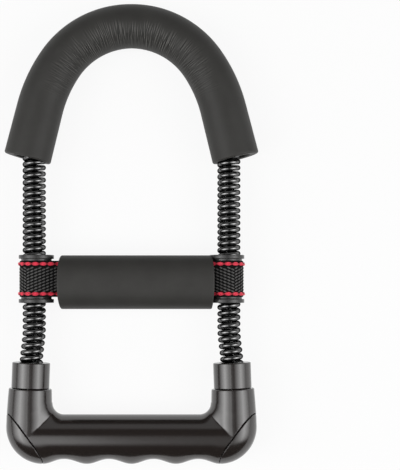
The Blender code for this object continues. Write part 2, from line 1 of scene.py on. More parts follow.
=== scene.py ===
"""Looks of the wrist trainer: fine surfaces, yarn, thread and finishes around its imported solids.

Sizes are in metres, in the frame of the solids: +Y runs from the grip to the bow, +X to the right,
+Z up towards the viewer. The trainer lies on its back on a white floor, seen from straight above.
"""
import json
import math
from collections import namedtuple

import bmesh
import bpy
import numpy as np
from mathutils import Matrix, Vector


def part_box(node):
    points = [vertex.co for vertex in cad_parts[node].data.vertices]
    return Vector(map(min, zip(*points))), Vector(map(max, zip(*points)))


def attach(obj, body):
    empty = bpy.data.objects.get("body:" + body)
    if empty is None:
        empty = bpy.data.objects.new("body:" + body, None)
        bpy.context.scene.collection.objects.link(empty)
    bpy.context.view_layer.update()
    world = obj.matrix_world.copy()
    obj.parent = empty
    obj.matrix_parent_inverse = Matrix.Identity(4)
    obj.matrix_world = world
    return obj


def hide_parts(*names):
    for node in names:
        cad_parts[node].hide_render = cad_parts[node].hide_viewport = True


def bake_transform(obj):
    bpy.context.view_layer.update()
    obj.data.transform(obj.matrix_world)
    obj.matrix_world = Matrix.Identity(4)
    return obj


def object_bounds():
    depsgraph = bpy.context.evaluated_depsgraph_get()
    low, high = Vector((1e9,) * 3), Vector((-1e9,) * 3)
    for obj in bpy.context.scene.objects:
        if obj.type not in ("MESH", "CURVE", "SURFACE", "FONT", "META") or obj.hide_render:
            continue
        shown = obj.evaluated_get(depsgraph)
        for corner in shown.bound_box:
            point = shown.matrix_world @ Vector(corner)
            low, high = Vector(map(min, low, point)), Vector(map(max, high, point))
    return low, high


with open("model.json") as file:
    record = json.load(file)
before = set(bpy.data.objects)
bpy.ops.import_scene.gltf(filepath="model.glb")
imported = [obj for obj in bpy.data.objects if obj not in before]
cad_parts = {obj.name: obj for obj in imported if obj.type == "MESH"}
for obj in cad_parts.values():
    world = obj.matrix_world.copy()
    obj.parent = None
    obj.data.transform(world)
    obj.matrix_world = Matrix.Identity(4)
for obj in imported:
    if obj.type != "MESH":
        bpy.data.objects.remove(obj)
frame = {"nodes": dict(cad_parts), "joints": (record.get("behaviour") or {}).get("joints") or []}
CAD_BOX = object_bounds()

MM = 0.001
SIDES = {"left": -1, "right": 1}
GAP = 0.3 * MM
SAME_POINT = 0.01 * MM
ON_CUT = 0.02 * MM

# Foam bow: crown arc, shoulder arc and straight leg on each half
FOAM_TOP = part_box("arch_foam")[1]
HALF_DEPTH = 20.6 * MM
FOAM_CROWN_RADIUS = 19.3 * MM
FOAM_END_RADIUS = 21.0 * MM
CROWN_BEND_RADIUS = 76.8 * MM
CROWN_ANGLE = math.radians(55.4)
SHOULDER_BEND_RADIUS = 126.5 * MM
LEG_LEAN = math.radians(14.2)
LEG_LENGTH = 45.0 * MM
FOAM_EDGE = 1.8 * MM
MOUTH_RADIUS = 14.0 * MM
MOUTH_DEPTH = 16.0 * MM
MOUTH_INSET = 1.2 * MM
MOUTH_LIP = 0.8 * MM
BOW_SIDES = 72
BOW_EDGE_STEPS = 5
LEG_STATIONS = 48

# Creases pressed into the inner side of the crown. Rows are angles in radians from the innermost line,
# and the height and width of the banks beside a crease are shares of its depth and width
CREASED = 106.0 * MM
CREASE_ROWS = (0.75, 1.2, -0.75, -1.2)
CREASE_ROW_JITTER = 0.2
CREASE_SPACING = (1.3 * MM, 2.1 * MM)
CREASE_JITTER = 0.7 * MM
CREASE_WIDTH = (0.32 * MM, 0.5 * MM)
CREASE_DEPTH = (0.2 * MM, 0.6 * MM)
CREASE_SPREAD = (0.2, 0.42)
CREASE_SLANT = 2.4 * MM
CREASE_FADE = 0.6
CREASE_REACH = 6 * MM
BANK_HEIGHT = 0.3
BANK_WIDTH = 2.4
CREASE_STEP = 0.42 * MM
# Depth that sets how strong the foam's painted shade in a crease and painted highlight on its banks are
DEEP_CREASE = 0.4 * MM

# Springs: the wire is thicker than in the solids, inside the same outer diameter
SPRING_X = 86.6 * MM
SPRING_RADIUS = 10.4 * MM
WIRE_RADIUS = 2.4 * MM
UPPER_PITCH = 5.45 * MM
LOWER_PITCH = 5.8 * MM
FLEX_LENGTH = 30.0 * MM
POINTS_A_TURN = 36
WIRE_SIDES = 12

# Centre pad: the two ends bulge differently, each in the middle of its height
PAD_EDGE = 1.3 * MM
LEFT_END_BULGE = 2.0 * MM
LEFT_END_OUT = 0.8 * MM
RIGHT_END_BULGE = 2.2 * MM
RIGHT_END_OUT = 0.5 * MM
PAD_SQUARENESS = 0.8
PAD_PLAY = 5.5 * MM
PAD_SIDES = 96
PAD_EDGE_STEPS = 6
PAD_STEPS = 120
PAD_FACE_SHARES = (1.0, 0.66, 0.33, 0.0)
BULGE_START = 0.82

# Webbing and its red chain stitch
STRAP_WIDTH = 32.0 * MM
STRAP_CORE = 5.2 * MM
STRAP_INNER = 13.9 * MM
STRAP_OUTER = 15.1 * MM
NARROW = 56.0 * MM
THREAD_SPACING = 26.4 * MM
THREAD_WIDTH = 3.2 * MM
STRAND_RADIUS = 0.62 * MM
STITCH_LENGTH = 6.8 * MM
STITCH_DIP = 0.35 * MM
THREAD_ROOM = 1.5 * MM
POINTS_A_STITCH = 14
COLUMN_PITCH = 3.5 * MM
ROW_PITCH = 2.75 * MM
YARN_ROWS = 8
WEAVE_BEND = 90.8 * MM
FLOAT_LENGTH = 3.5 * MM
FLOAT_WIDTH = 1.5 * MM
YARN_THICKNESS = 0.9 * MM
YARN_UNDER_PAD = 4 * MM
YARN_STEEPNESS = 1.25

# Sleeves
SLEEVE_X = 84.7 * MM
SLEEVE_BORE = 12.6 * MM
BARREL_RADIUS = 13.6 * MM
FLANGE_RADIUS = 15.6 * MM
FLANGE_THICKNESS = 3.4 * MM
SLEEVE_ROUNDING = 0.6 * MM

# Grip: bar between two leaning sockets
CROSSING_X = 91.6 * MM
SOCKET_LEAN = math.radians(2.0)
BAR_TOP = 20.6 * MM
BAR_UNDERSIDE = 21.1 * MM
FINGER_RISE = 2.3 * MM
FINGER_PITCH = 39.6 * MM
LAST_RIDGE = 79.2 * MM
RIDGE_SHARPNESS = 5.0
SOCKET_HEIGHT = 43.6 * MM
SOCKET_TOP_RADIUS = 19.0 * MM
SOCKET_BASE_RADIUS = 20.1 * MM
SOCKET_TAPER_LENGTH = 21.0 * MM
SOCKET_RIM = 0.8 * MM
SOCKET_MOUTH_RADIUS = 15.2 * MM
GRIP_SIDES = 112
RIM_STEPS = 5
SOCKET_STEPS = 8
FAN_STEPS = 26
BAR_STEPS = 44
HANDLE_WALL = 2.6 * MM
INNER_FILLET = 10.0 * MM
FILLET_BLEND = 9.0 * MM
BAR_SHAPE_START = 0.35
CORNER_RADIUS = 33.0 * MM
CAP_SEAM_ANGLE = math.radians(54.4)
CAP_SEAM_OFFSET = 4.0 * MM
CAP_SEAM_SLANT = math.radians(17.3)
CAP_WALL = 2.4 * MM
SEAM_LIP = 0.6 * MM
SEAM_OPENING = 0.2 * MM
CAP_CUT_OFF = 2.0 * MM
CAP_OVERRUN = 30 * MM
CAP_SIDES = 48
CAP_STEPS = 40
SHARP_LIP = math.radians(45)
COLLAR_HEIGHT = 23.2 * MM
COLLAR_RADIUS = 16.75 * MM
COLLAR_BORE = 11.2 * MM
COLLAR_ROUNDING = 1.0 * MM

# Floor and lamps: distances and sizes in metres, the lean towards the grip in degrees
FLOOR_HALF = 3.0
FLOOR_DROP = 0.2 * MM
FLOOR_WHITE = 0.9
LAMP_DISTANCE = 1.9
LAMP_LENGTH = 1.8
TOWARDS_GRIP = -14
SKY = 0.05

# Camera: how far it stands off, over which line across the object, and what the picture takes in
CAMERA_HEIGHT = 1140 * MM
CAMERA_Y = -51 * MM
PICTURE_MIDDLE = (60.9 * MM, -0.7 * MM)
PICTURE_HEIGHT = 418.3 * MM
SENSOR_HEIGHT = 36.0

# Values that follow from the frame and from the ones above
LOW_Y = CAD_BOX[0][1]
HIGH_Y = CAD_BOX[1][1]
BAR_Y = LOW_Y + BAR_UNDERSIDE + FINGER_RISE
CROWN_Y = HIGH_Y - FOAM_CROWN_RADIUS
FOAM_HALF_DEPTH = FOAM_TOP[2] - HALF_DEPTH
CORNER_Y = LOW_Y + CORNER_RADIUS
FILLET_Y = BAR_Y + BAR_TOP + INNER_FILLET
FILLET_X = CROSSING_X - (FILLET_Y - BAR_Y) * math.tan(SOCKET_LEAN) - SOCKET_BASE_RADIUS - INNER_FILLET
MITRE = math.atan2(FILLET_Y - BAR_Y, CROSSING_X - FILLET_X)
PAD_LOW, PAD_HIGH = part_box("pad_foam")
PAD_Y = (PAD_LOW[1] + PAD_HIGH[1]) / 2
PAD_HALF_HEIGHT = (PAD_HIGH[1] - PAD_LOW[1]) / 2
PadEnd = namedtuple("PadEnd", "x side bulge play")
LEFT_END = PadEnd(PAD_LOW[0] - LEFT_END_OUT, -1, LEFT_END_BULGE, PAD_PLAY)
RIGHT_END = PadEnd(PAD_HIGH[0] + RIGHT_END_OUT, 1, RIGHT_END_BULGE, 0.0)
SLEEVE_LOW, SLEEVE_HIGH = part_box("right_sleeve")
SLEEVE_Y = (SLEEVE_LOW[1] + SLEEVE_HIGH[1]) / 2
SPRING_LOW, SPRING_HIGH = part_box("right_spring")
FLEX_Y = frame["joints"][0]["pos_m"][1]
FLEX_LOW_Y = FLEX_Y - FLEX_LENGTH / 2

# Length of the foam's middle line from the crown to a mouth
BOW_HALF = (CROWN_BEND_RADIUS * CROWN_ANGLE + LEG_LENGTH
            + SHOULDER_BEND_RADIUS * (math.pi / 2 - LEG_LEAN - CROWN_ANGLE))


class Wire:
    """An output of a node. An operator on it adds a Math node to the same tree."""

    def __init__(self, net, socket):
        self.net = net
        self.socket = socket

    def math(self, operation, *values):
        return self.net.node("ShaderNodeMath", {"operation": operation}, dict(enumerate(values)))

    def __add__(self, other):
        return self.math("ADD", self, other)

    __radd__ = __add__

    def __sub__(self, other):
        return self.math("SUBTRACT", self, other)

    def __rsub__(self, other):
        return self.math("SUBTRACT", other, self)

    def __mul__(self, other):
        return self.math("MULTIPLY", self, other)

    __rmul__ = __mul__

    def __truediv__(self, other):
        return self.math("DIVIDE", self, other)

    def least(self, other):
        return self.math("MINIMUM", self, other)

    def most(self, other):
        return self.math("MAXIMUM", self, other)

    def above(self, limit):
        """1 where it is more than the limit, else 0."""
        return self.math("GREATER_THAN", self, limit)

    def floor(self):
        return self.math("FLOOR", self)

    def unsigned(self):
        return self.math("ABSOLUTE", self)

    def sign(self):
        return self.math("SIGN", self)

    def sine(self):
        return self.math("SINE", self)

    def cosine(self):
        return self.math("COSINE", self)

    def beside(self, name):
        """Another output of the same node."""
        return Wire(self.net, self.socket.node.outputs[name])


class Net:
    """The node tree of a material or of Geometry Nodes."""

    def __init__(self, tree):
        self.tree = tree

    def node(self, kind, settings=None, sockets=None, out=0):
        made = self.tree.nodes.new(kind)
        for name, value in (settings or {}).items():
            setattr(made, name, value)
        for key, value in (sockets or {}).items():
            if isinstance(value, Wire):
                self.tree.links.new(value.socket, made.inputs[key])
            else:
                made.inputs[key].default_value = value
        return Wire(self, made.outputs[out])

    def between(self, share, low, high):
        """A colour between two."""
        return self.node("ShaderNodeMix", {"data_type": "RGBA"}, {0: share, 6: low, 7: high}, out=2)

    def noise(self, place, scale, detail=3.0, roughness=0.5):
        sockets = {"Vector": place, "Scale": scale, "Detail": detail, "Roughness": roughness}
        return self.node("ShaderNodeTexNoise", None, sockets)

    def vector(self, operation, *values):
        return self.node("ShaderNodeVectorMath", {"operation": operation}, dict(enumerate(values)))

    def xyz(self, x, y, z):
        return self.node("ShaderNodeCombineXYZ", None, {"X": x, "Y": y, "Z": z})

    def stretched(self, place, scale):
        """The same places on stretched axes."""
        return self.node("ShaderNodeMapping", None, {"Vector": place, "Scale": scale})

    def attribute(self, name):
        """A value that the mesh carries at its points."""
        return self.node("ShaderNodeAttribute", {"attribute_name": name}, out="Fac")

    def bump(self, strength, distance, height):
        sockets = {"Strength": strength, "Distance": distance, "Height": height}
        return self.node("ShaderNodeBump", None, sockets)


def finish(name, look, **constants):
    """A material: look(net, place) gives the shader sockets that vary, the rest are constants."""
    made = bpy.data.materials.new(name)
    made.use_nodes = True
    net = Net(made.node_tree)
    shader = made.node_tree.nodes["Principled BSDF"]
    for socket, value in constants.items():
        shader.inputs[socket.replace("_", " ")].default_value = value
    place = net.node("ShaderNodeTexCoord", out="Object")
    for socket, value in look(net, place).items():
        made.node_tree.links.new(value.socket, shader.inputs[socket])
    return made


def foam_look(net, place):
    """Closed-cell foam: mottled charcoal with fine pores, with painted shade in its creases and a painted
    highlight on the banks beside them.
    """
    mottle = net.noise(place, 45.0, 4.0, 0.6)
    pores = net.noise(place, 1500.0, 2.0, 0.6)
    skin_tint = net.between(mottle, (0.025, 0.024, 0.022, 1), (0.043, 0.042, 0.039, 1))
    crease = net.attribute("crease")
    # Painted highlight: where the crease attribute is below zero, on the banks beside a crease, the colour
    # is made paler
    bank_highlight_tint = net.between((crease * -3.0).most(0.0), skin_tint, (0.130, 0.127, 0.120, 1))
    # Painted shade: the colour darkens towards near black as a crease deepens
    tint = net.between(crease.most(0.0), bank_highlight_tint, (0.007, 0.007, 0.006, 1))
    bump = net.bump(0.5, 0.12 * MM, pores)
    return {"Base Color": tint, "Roughness": 0.50 + 0.14 * pores, "Normal": bump}


def plated_look(net, place):
    """Black-plated spring wire, a little greyer where it has rubbed."""
    rub = net.noise(place, 260.0, 3.0, 0.7)
    tint = net.between(rub, (0.13, 0.13, 0.13, 1), (0.21, 0.21, 0.21, 1))
    return {"Base Color": tint, "Roughness": 0.09 + 0.10 * rub}


def gloss_look(net, place):
    """Moulded gloss-black plastic with a faint ripple and dust."""
    ripple = net.noise(place, 120.0, 2.0, 0.4)
    dust = net.noise(place, 700.0, 4.0, 0.7)
    tint = net.between(dust, (0.010, 0.007, 0.006, 1), (0.021, 0.016, 0.014, 1))
    bump = net.bump(0.3, 0.03 * MM, ripple)
    return {"Base Color": tint, "Roughness": 0.13 + 0.10 * dust, "Normal": bump}


def satin_look(net, place):
    """Spark-eroded satin plastic."""
    grain = net.noise(place, 1800.0, 2.0, 0.6)
    tint = net.between(grain, (0.026, 0.026, 0.026, 1), (0.048, 0.047, 0.046, 1))
    bump = net.bump(0.4, 0.06 * MM, grain)
    return {"Base Color": tint, "Roughness": 0.20 + 0.14 * grain, "Normal": bump}


def yarn_look(net, place):
    """Black filament yarn."""
    hair = net.noise(net.stretched(place, (1.0, 5.0, 3.0)), 900.0, 2.0, 0.6)
    tint = net.between(hair, (0.040, 0.040, 0.039, 1), (0.120, 0.118, 0.114, 1))
    bump = net.bump(0.6, 0.1 * MM, hair)
    return {"Base Color": tint, "Roughness": 0.55 + 0.2 * hair, "Normal": bump}


def ground_look(net, place):
    """The weft under the yarn, coloured near black and far darker than the yarn, as painted shade in the
    gaps between the floats.
    """
    hair = net.noise(place, 1200.0, 2.0, 0.6)
    # Painted shade: near black so that the gaps between the floats look shaded
    tint = net.between(hair, (0.003, 0.003, 0.003, 1), (0.010, 0.010, 0.010, 1))
    return {"Base Color": tint, "Roughness": 0.7 + 0.2 * hair}


def thread_look(net, place):
    """Glossy red sewing thread, with painted shade where the strands cross and a painted highlight where
    the loops open.
    """
    ply = net.noise(place, 1100.0, 2.0, 0.6)
    open_loop = net.attribute("open_loop")
    # Painted shade and highlight: dark red where the strands cross, light red where a loop is open, with a
    # little random tone from the ply
    tint = net.between((open_loop * 1.1 + 0.4 * ply - 0.2).most(0.0).least(1.0),
                       (0.25, 0.003, 0.010, 1), (0.82, 0.038, 0.080, 1))
    bump = net.bump(0.6, 0.08 * MM, ply)
    return {"Base Color": tint, "Roughness": 0.42 + 0.2 * ply, "Normal": bump}


def zinc_look(net, place):
    """Turned zinc-plated steel."""
    turned_marks = net.noise(net.stretched(place, (1.0, 12.0, 1.0)), 400.0, 3.0, 0.6)
    tint = net.between(turned_marks, (0.42, 0.42, 0.40, 1), (0.66, 0.66, 0.64, 1))
    return {"Base Color": tint, "Roughness": 0.28 + 0.18 * turned_marks}


FOAM = finish("charcoal_foam", foam_look, Specular_IOR_Level=0.35)
PLATED = finish("black_plated_wire", plated_look, Metallic=1.0, Specular_Tint=(0.03, 0.03, 0.03, 1))
GLOSS = finish("gloss_black_plastic", gloss_look, Specular_IOR_Level=1.0)
SATIN = finish("satin_black_plastic", satin_look)
YARN = finish("black_yarn", yarn_look)
GROUND = finish("webbing_ground", ground_look, Specular_IOR_Level=0.08)
THREAD = finish("red_thread", thread_look)
ZINC = finish("zinc_plated_steel", zinc_look, Metallic=1.0)


def add(name, data, material):
    """Links a piece whose place is in its mesh."""
    made = bpy.data.objects.new(name, data)
    bpy.context.scene.collection.objects.link(made)
    data.materials.clear()
    data.materials.append(material)
    return made


def skin_faces(count, around, closed=True, looped=False):
    """Quads between neighbouring rings of points."""
    faces = []
    for row in range(count if looped else count - 1):
        low = row * around
        high = (row + 1) % count * around
        for i in range(around if closed else around - 1):
            j = (i + 1) % around
            faces.append((low + i, low + j, high + j, high + i))
    return faces


def skin(name, rings, material, closed=True, looped=False, capped=False):
    """A surface over rings of points, with its faces outwards and its doubles merged."""
    rings = np.asarray(rings, dtype=float)
    count, around = rings.shape[:2]
    faces = skin_faces(count, around, closed, looped)
    if capped:
        faces.append(tuple(range(around)))
        faces.append(tuple((count - 1) * around + i for i in range(around)))
    data = bpy.data.meshes.new(name)
    data.from_pydata(rings.reshape(-1, 3).tolist(), [], faces)
    made = add(name, data, material)
    tidy(made)
    return made


def tidy(piece, cuts=()):
    """Merges doubles, cuts with planes (point, normal of the side that goes) and points faces outwards."""
    mesh = bmesh.new()
    mesh.from_mesh(piece.data)
    bmesh.ops.remove_doubles(mesh, verts=mesh.verts, dist=SAME_POINT)
    for point, normal in cuts:
        everything = [*mesh.verts, *mesh.edges, *mesh.faces]
        bmesh.ops.bisect_plane(mesh, geom=everything, plane_co=point, plane_no=normal,
                               clear_outer=True, dist=ON_CUT)
    bmesh.ops.recalc_face_normals(mesh, faces=mesh.faces)
    middle = sum((vert.co for vert in mesh.verts), Vector()) / len(mesh.verts)
    outwards = sum(face.calc_area() * face.normal.dot(face.calc_center_median() - middle)
                   for face in mesh.faces)
    if outwards < 0:
        bmesh.ops.reverse_faces(mesh, faces=mesh.faces)
    mesh.to_mesh(piece.data)
    mesh.free()


def shade(piece, angle=40):
    piece.data.shade_smooth()
    piece.data.set_sharp_from_angle(angle=math.radians(angle))


def applied(piece):
    """The piece with its modifiers made into its mesh."""
    graph = bpy.context.evaluated_depsgraph_get()
    data = bpy.data.meshes.new_from_object(piece.evaluated_get(graph))
    piece.modifiers.clear()
    piece.data = data
    return piece


def thicken(piece, wall):
    """Gives an open skin a wall on its inner side."""
    solid = piece.modifiers.new("wall", "SOLIDIFY")
    solid.thickness = wall
    solid.offset = -1.0
    solid.use_even_offset = True
    return applied(piece)


def mirrored(piece, axis, about):
    """Joins the piece to its mirror image in the plane at a place on the axis."""
    mesh = bmesh.new()
    mesh.from_mesh(piece.data)
    copy = bmesh.ops.duplicate(mesh, geom=[*mesh.verts, *mesh.edges, *mesh.faces])["geom"]
    for item in copy:
        if isinstance(item, bmesh.types.BMVert):
            item.co[axis] = 2 * about - item.co[axis]
    bmesh.ops.reverse_faces(mesh, faces=[item for item in copy if isinstance(item, bmesh.types.BMFace)])
    bmesh.ops.remove_doubles(mesh, verts=mesh.verts, dist=ON_CUT)
    mesh.to_mesh(piece.data)
    mesh.free()


def turned(name, profile, material, place, lean=0.0, sides=96):
    """A closed profile of (radius, height) turned about an axis that stands along Y and may lean."""
    rings = []
    for i in range(sides):
        angle = 2 * math.pi * i / sides
        ring = []
        for radius, height in profile:
            across = radius * math.cos(angle)
            ring.append((place[0] + across * math.cos(lean) + height * math.sin(lean),
                         place[1] - across * math.sin(lean) + height * math.cos(lean),
                         HALF_DEPTH + radius * math.sin(angle)))
        rings.append(ring)
    made = skin(name, rings, material, looped=True)
    shade(made)
    return made


def rounded(corners, radius, steps=5):
    """A closed outline of (radius, height) with each corner rounded, where the sides leave room."""
    points = []
    for i, corner in enumerate(corners):
        before = Vector(corners[i - 1])
        here = Vector(corner)
        after = Vector(corners[(i + 1) % len(corners)])
        back = before - here
        ahead = after - here
        reach = min(radius, 0.45 * back.length, 0.45 * ahead.length)
        start = here + back.normalized() * reach
        end = here + ahead.normalized() * reach
        for step in range(steps + 1):
            share = step / steps
            to_corner = start.lerp(here, share)
            points.append(tuple(to_corner.lerp(here.lerp(end, share), share)))
    return points


def smoothstep(low, high, value):
    share = np.clip((value - low) / (high - low), 0.0, 1.0)
    return share * share * (3 - 2 * share)


def made_by_nodes(name, build, base, material, **sizes):
    """Runs a Geometry Nodes tree on a base mesh or curve and keeps the result as a plain mesh."""
    tree = bpy.data.node_groups.new(name, "GeometryNodeTree")
    tree.interface.new_socket("Geometry", in_out="INPUT", socket_type="NodeSocketGeometry")
    for size in sizes:
        tree.interface.new_socket(size, in_out="INPUT", socket_type="NodeSocketFloat")
    tree.interface.new_socket("Geometry", in_out="OUTPUT", socket_type="NodeSocketGeometry")
    net = Net(tree)
    start = tree.nodes.new("NodeGroupInput")
    inputs = {socket.name: Wire(net, socket) for socket in start.outputs if socket.name}
    shape = build(net, inputs)
    real = net.node("GeometryNodeRealizeInstances", None, {"Geometry": shape})
    coloured = net.node("GeometryNodeSetMaterial", None, {"Geometry": real, "Material": material})
    end = tree.nodes.new("NodeGroupOutput")
    tree.links.new(coloured.socket, end.inputs[0])
    source = bpy.data.objects.new(name + "_source", base)
    bpy.context.scene.collection.objects.link(source)
    modifier = source.modifiers.new("nodes", "NODES")
    modifier.node_group = tree
    for socket in tree.interface.items_tree:
        if socket.in_out == "INPUT" and socket.name in sizes:
            modifier[socket.identifier] = sizes[socket.name]
    graph = bpy.context.evaluated_depsgraph_get()
    data = bpy.data.meshes.new_from_object(source.evaluated_get(graph))
    source.modifiers.clear()
    bpy.data.objects.remove(source)
    data.name = name
    return add(name, data, material)


def poly_curve(name, points, cyclic=False):
    """A curve through points, as the base of a node tree."""
    data = bpy.data.curves.new(name, "CURVE")
    data.dimensions = "3D"
    spline = data.splines.new("POLY")
    spline.points.add(len(points) - 1)
    for place, point in zip(spline.points, points):
        place.co = (*point, 1.0)
    spline.use_cyclic_u = cyclic
    return data


# Springs

def spring_tree(net, given):
    """A wire round an axis that is straight above the flex length and leans below it."""
    index = net.node("GeometryNodeInputIndex")
    turn = index / POINTS_A_TURN
    past_change = (turn - given["Lower turns"]).most(0.0)
    y = (given["Start"] + turn.least(given["Lower turns"]) * given["Lower pitch"]
         + past_change * given["Upper pitch"])
    share = ((y - given["Flex start"]) / given["Flex length"]).most(0.0).least(1.0)
    ease = share * share * (3.0 - 2.0 * share)
    curl = share * (1.0 - share) * (1.0 - share)
    below = (given["Flex start"] - y).most(0.0)
    axis = (given["Low axis"] + (given["High axis"] - given["Low axis"]) * ease
            + given["Lean"] * (below - given["Flex length"] * curl))
    angle = turn * (2 * math.pi)
    x = given["Side"] * axis + given["Coil radius"] * angle.sine()
    z = given["Height"] + given["Coil radius"] * angle.cosine()
    wound = net.node("GeometryNodeSetPosition", None,
                     {"Geometry": given["Geometry"], "Position": net.xyz(x, y, z)})
    section = net.node("GeometryNodeCurvePrimitiveCircle", None,
                       {"Resolution": WIRE_SIDES, "Radius": given["Wire radius"]})
    wire = net.node("GeometryNodeCurveToMesh", None,
                    {"Curve": wound, "Profile Curve": section, "Fill Caps": True})
    return net.node("GeometryNodeSetShadeSmooth", None, {"Geometry": wire})


def make_springs():
    lean = math.tan(SOCKET_LEAN)
    start = SPRING_LOW[1] + WIRE_RADIUS
    stop = SPRING_HIGH[1] - WIRE_RADIUS
    lower_turns = (SLEEVE_Y - start) / LOWER_PITCH
    turns = lower_turns + (stop - SLEEVE_Y) / UPPER_PITCH
    count = round(turns * POINTS_A_TURN) + 1
    for name, side in SIDES.items():
        route = poly_curve(name + "_spring_route", [(0, i * MM, 0) for i in range(count)])
        spring = made_by_nodes(name + "_spring_coil", spring_tree, route, PLATED, **{
            "Side": side,
            "Start": start,
            "Lower turns": lower_turns,
            "Lower pitch": LOWER_PITCH,
            "Upper pitch": UPPER_PITCH,
            "Flex start": FLEX_LOW_Y,
            "Flex length": FLEX_LENGTH,
            "Low axis": CROSSING_X - (FLEX_LOW_Y - BAR_Y) * lean,
            "High axis": SPRING_X,
            "Lean": lean,
            "Coil radius": SPRING_RADIUS - WIRE_RADIUS,
            "Wire radius": WIRE_RADIUS,
            "Height": HALF_DEPTH,
        })
        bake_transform(spring)
        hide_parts(name + "_spring")


# Foam bow

def bow_point(travel):
    """Place and heading of the foam's middle line, a distance from the crown along its right half."""
    crown = CROWN_BEND_RADIUS * CROWN_ANGLE
    shoulder = SHOULDER_BEND_RADIUS * (math.pi / 2 - LEG_LEAN - CROWN_ANGLE)
    if travel <= crown:
        angle = travel / CROWN_BEND_RADIUS
        x = CROWN_BEND_RADIUS * math.sin(angle)
        y = CROWN_Y - CROWN_BEND_RADIUS * (1 - math.cos(angle))
        return x, y, angle
    x, y, angle = bow_point(crown)
    turn = min(travel - crown, shoulder) / SHOULDER_BEND_RADIUS
    x += SHOULDER_BEND_RADIUS * (math.sin(angle + turn) - math.sin(angle))
    y -= SHOULDER_BEND_RADIUS * (math.cos(angle) - math.cos(angle + turn))
    angle += turn
    straight = max(0.0, travel - crown - shoulder)
    return x + straight * math.cos(angle), y - straight * math.sin(angle), angle


def wrinkle_depth(travel, angles, creases):
    """How far the skin is drawn in at one station. Beside a crease it is pushed out a little."""
    depth = np.zeros(len(angles))
    for at, width, deep, middle, spread, slant in creases:
        if abs(travel - at) > CREASE_REACH:
            continue
        offset = travel - at - slant * (angles - middle)
        reach = np.exp(-((angles - middle) / spread) ** 4)
        valley = np.exp(-(offset / width) ** 2)
        banks = BANK_HEIGHT * np.exp(-(offset / (BANK_WIDTH * width)) ** 2)
        depth += deep * reach * (valley - banks)
    return depth


def bow_creases():
    """Fine compression creases on the inner side of the crown, in two staggered rows front and back."""
    chance = np.random.default_rng(7)
    creases = []
    at = -CREASED
    while at < CREASED:
        fade = math.cos(at / CREASED * math.pi / 2) ** CREASE_FADE
        for row in CREASE_ROWS:
            place = at + chance.uniform(-CREASE_JITTER, CREASE_JITTER)
            width = chance.uniform(*CREASE_WIDTH)
            deep = chance.uniform(*CREASE_DEPTH) * fade
            middle = row + chance.uniform(-CREASE_ROW_JITTER, CREASE_ROW_JITTER)
            spread = chance.uniform(*CREASE_SPREAD)
            slant = chance.uniform(-CREASE_SLANT, CREASE_SLANT)
            creases.append((place, width, deep, middle, spread, slant))
        at += chance.uniform(*CREASE_SPACING)
    return creases


def bow_ring(travel, side, shrink, angles, drawn_in):
    """One section of the bow; angles are measured from its inner side."""
    x, y, heading = bow_point(travel)
    radius = FOAM_CROWN_RADIUS + (FOAM_END_RADIUS - FOAM_CROWN_RADIUS) * travel / BOW_HALF - shrink
    out = -(radius - drawn_in) * np.cos(angles)
    z = HALF_DEPTH + (FOAM_HALF_DEPTH - shrink - drawn_in) * np.sin(angles)
    places = [side * (x + out * math.sin(heading)), y + out * math.cos(heading), np.maximum(z, 0.0)]
    return np.stack(places, axis=1)


def bore_profile(bottom):
    """Depths and radii of a mouth's bore, from its rounded lip down a taper to the spring's pocket."""
    pocket = SPRING_RADIUS + GAP
    taper = MOUTH_RADIUS - pocket
    return ((0.0, MOUTH_RADIUS + MOUTH_LIP),
            (0.08 * MOUTH_LIP, MOUTH_RADIUS + 0.5 * MOUTH_LIP),
            (0.35 * MOUTH_LIP, MOUTH_RADIUS + 0.15 * MOUTH_LIP),
            (MOUTH_LIP, MOUTH_RADIUS),
            (0.35 * MOUTH_DEPTH, MOUTH_RADIUS - 0.35 * taper),
            (0.7 * MOUTH_DEPTH, MOUTH_RADIUS - 0.7 * taper),
            (MOUTH_DEPTH, pocket),
            (bottom, pocket),
            (bottom, pocket / 2))


def mouth_rings(side, angles):
    """From the rounded edge of a mouth over its end face and down its bore to the bottom."""
    x, y, heading = bow_point(BOW_HALF)
    rings = [bow_ring(BOW_HALF, side, FOAM_EDGE, angles, 0.0)]
    for depth, radius in bore_profile(SPRING_HIGH[1] - y + GAP):
        share = min(depth / MOUTH_DEPTH, 1.0)
        lean = LEG_LEAN * (1 - share)
        centre_x = (x - MOUTH_INSET) * (1 - share) + SPRING_X * share
        out = -radius * np.cos(angles)
        ring = [side * (centre_x + out * math.cos(lean)), y + depth + out * math.sin(lean),
                HALF_DEPTH + radius * np.sin(angles)]
        rings.append(np.stack(np.broadcast_arrays(*ring), axis=1))
    return rings


def bow_half(side, stations, depths, angles):
    """Rings of one half: from the crown over the rounded edge of the mouth into its bore."""
    rings = [bow_ring(travel, side, 0.0, angles, drawn_in) for travel, drawn_in in zip(stations, depths)]
    for i in range(1, BOW_EDGE_STEPS):
        turn = math.pi / 2 * i / BOW_EDGE_STEPS
        travel = BOW_HALF - FOAM_EDGE + FOAM_EDGE * math.sin(turn)
        rings.append(bow_ring(travel, side, FOAM_EDGE * (1 - math.cos(turn)), angles, 0.0))
    return rings + mouth_rings(side, angles)


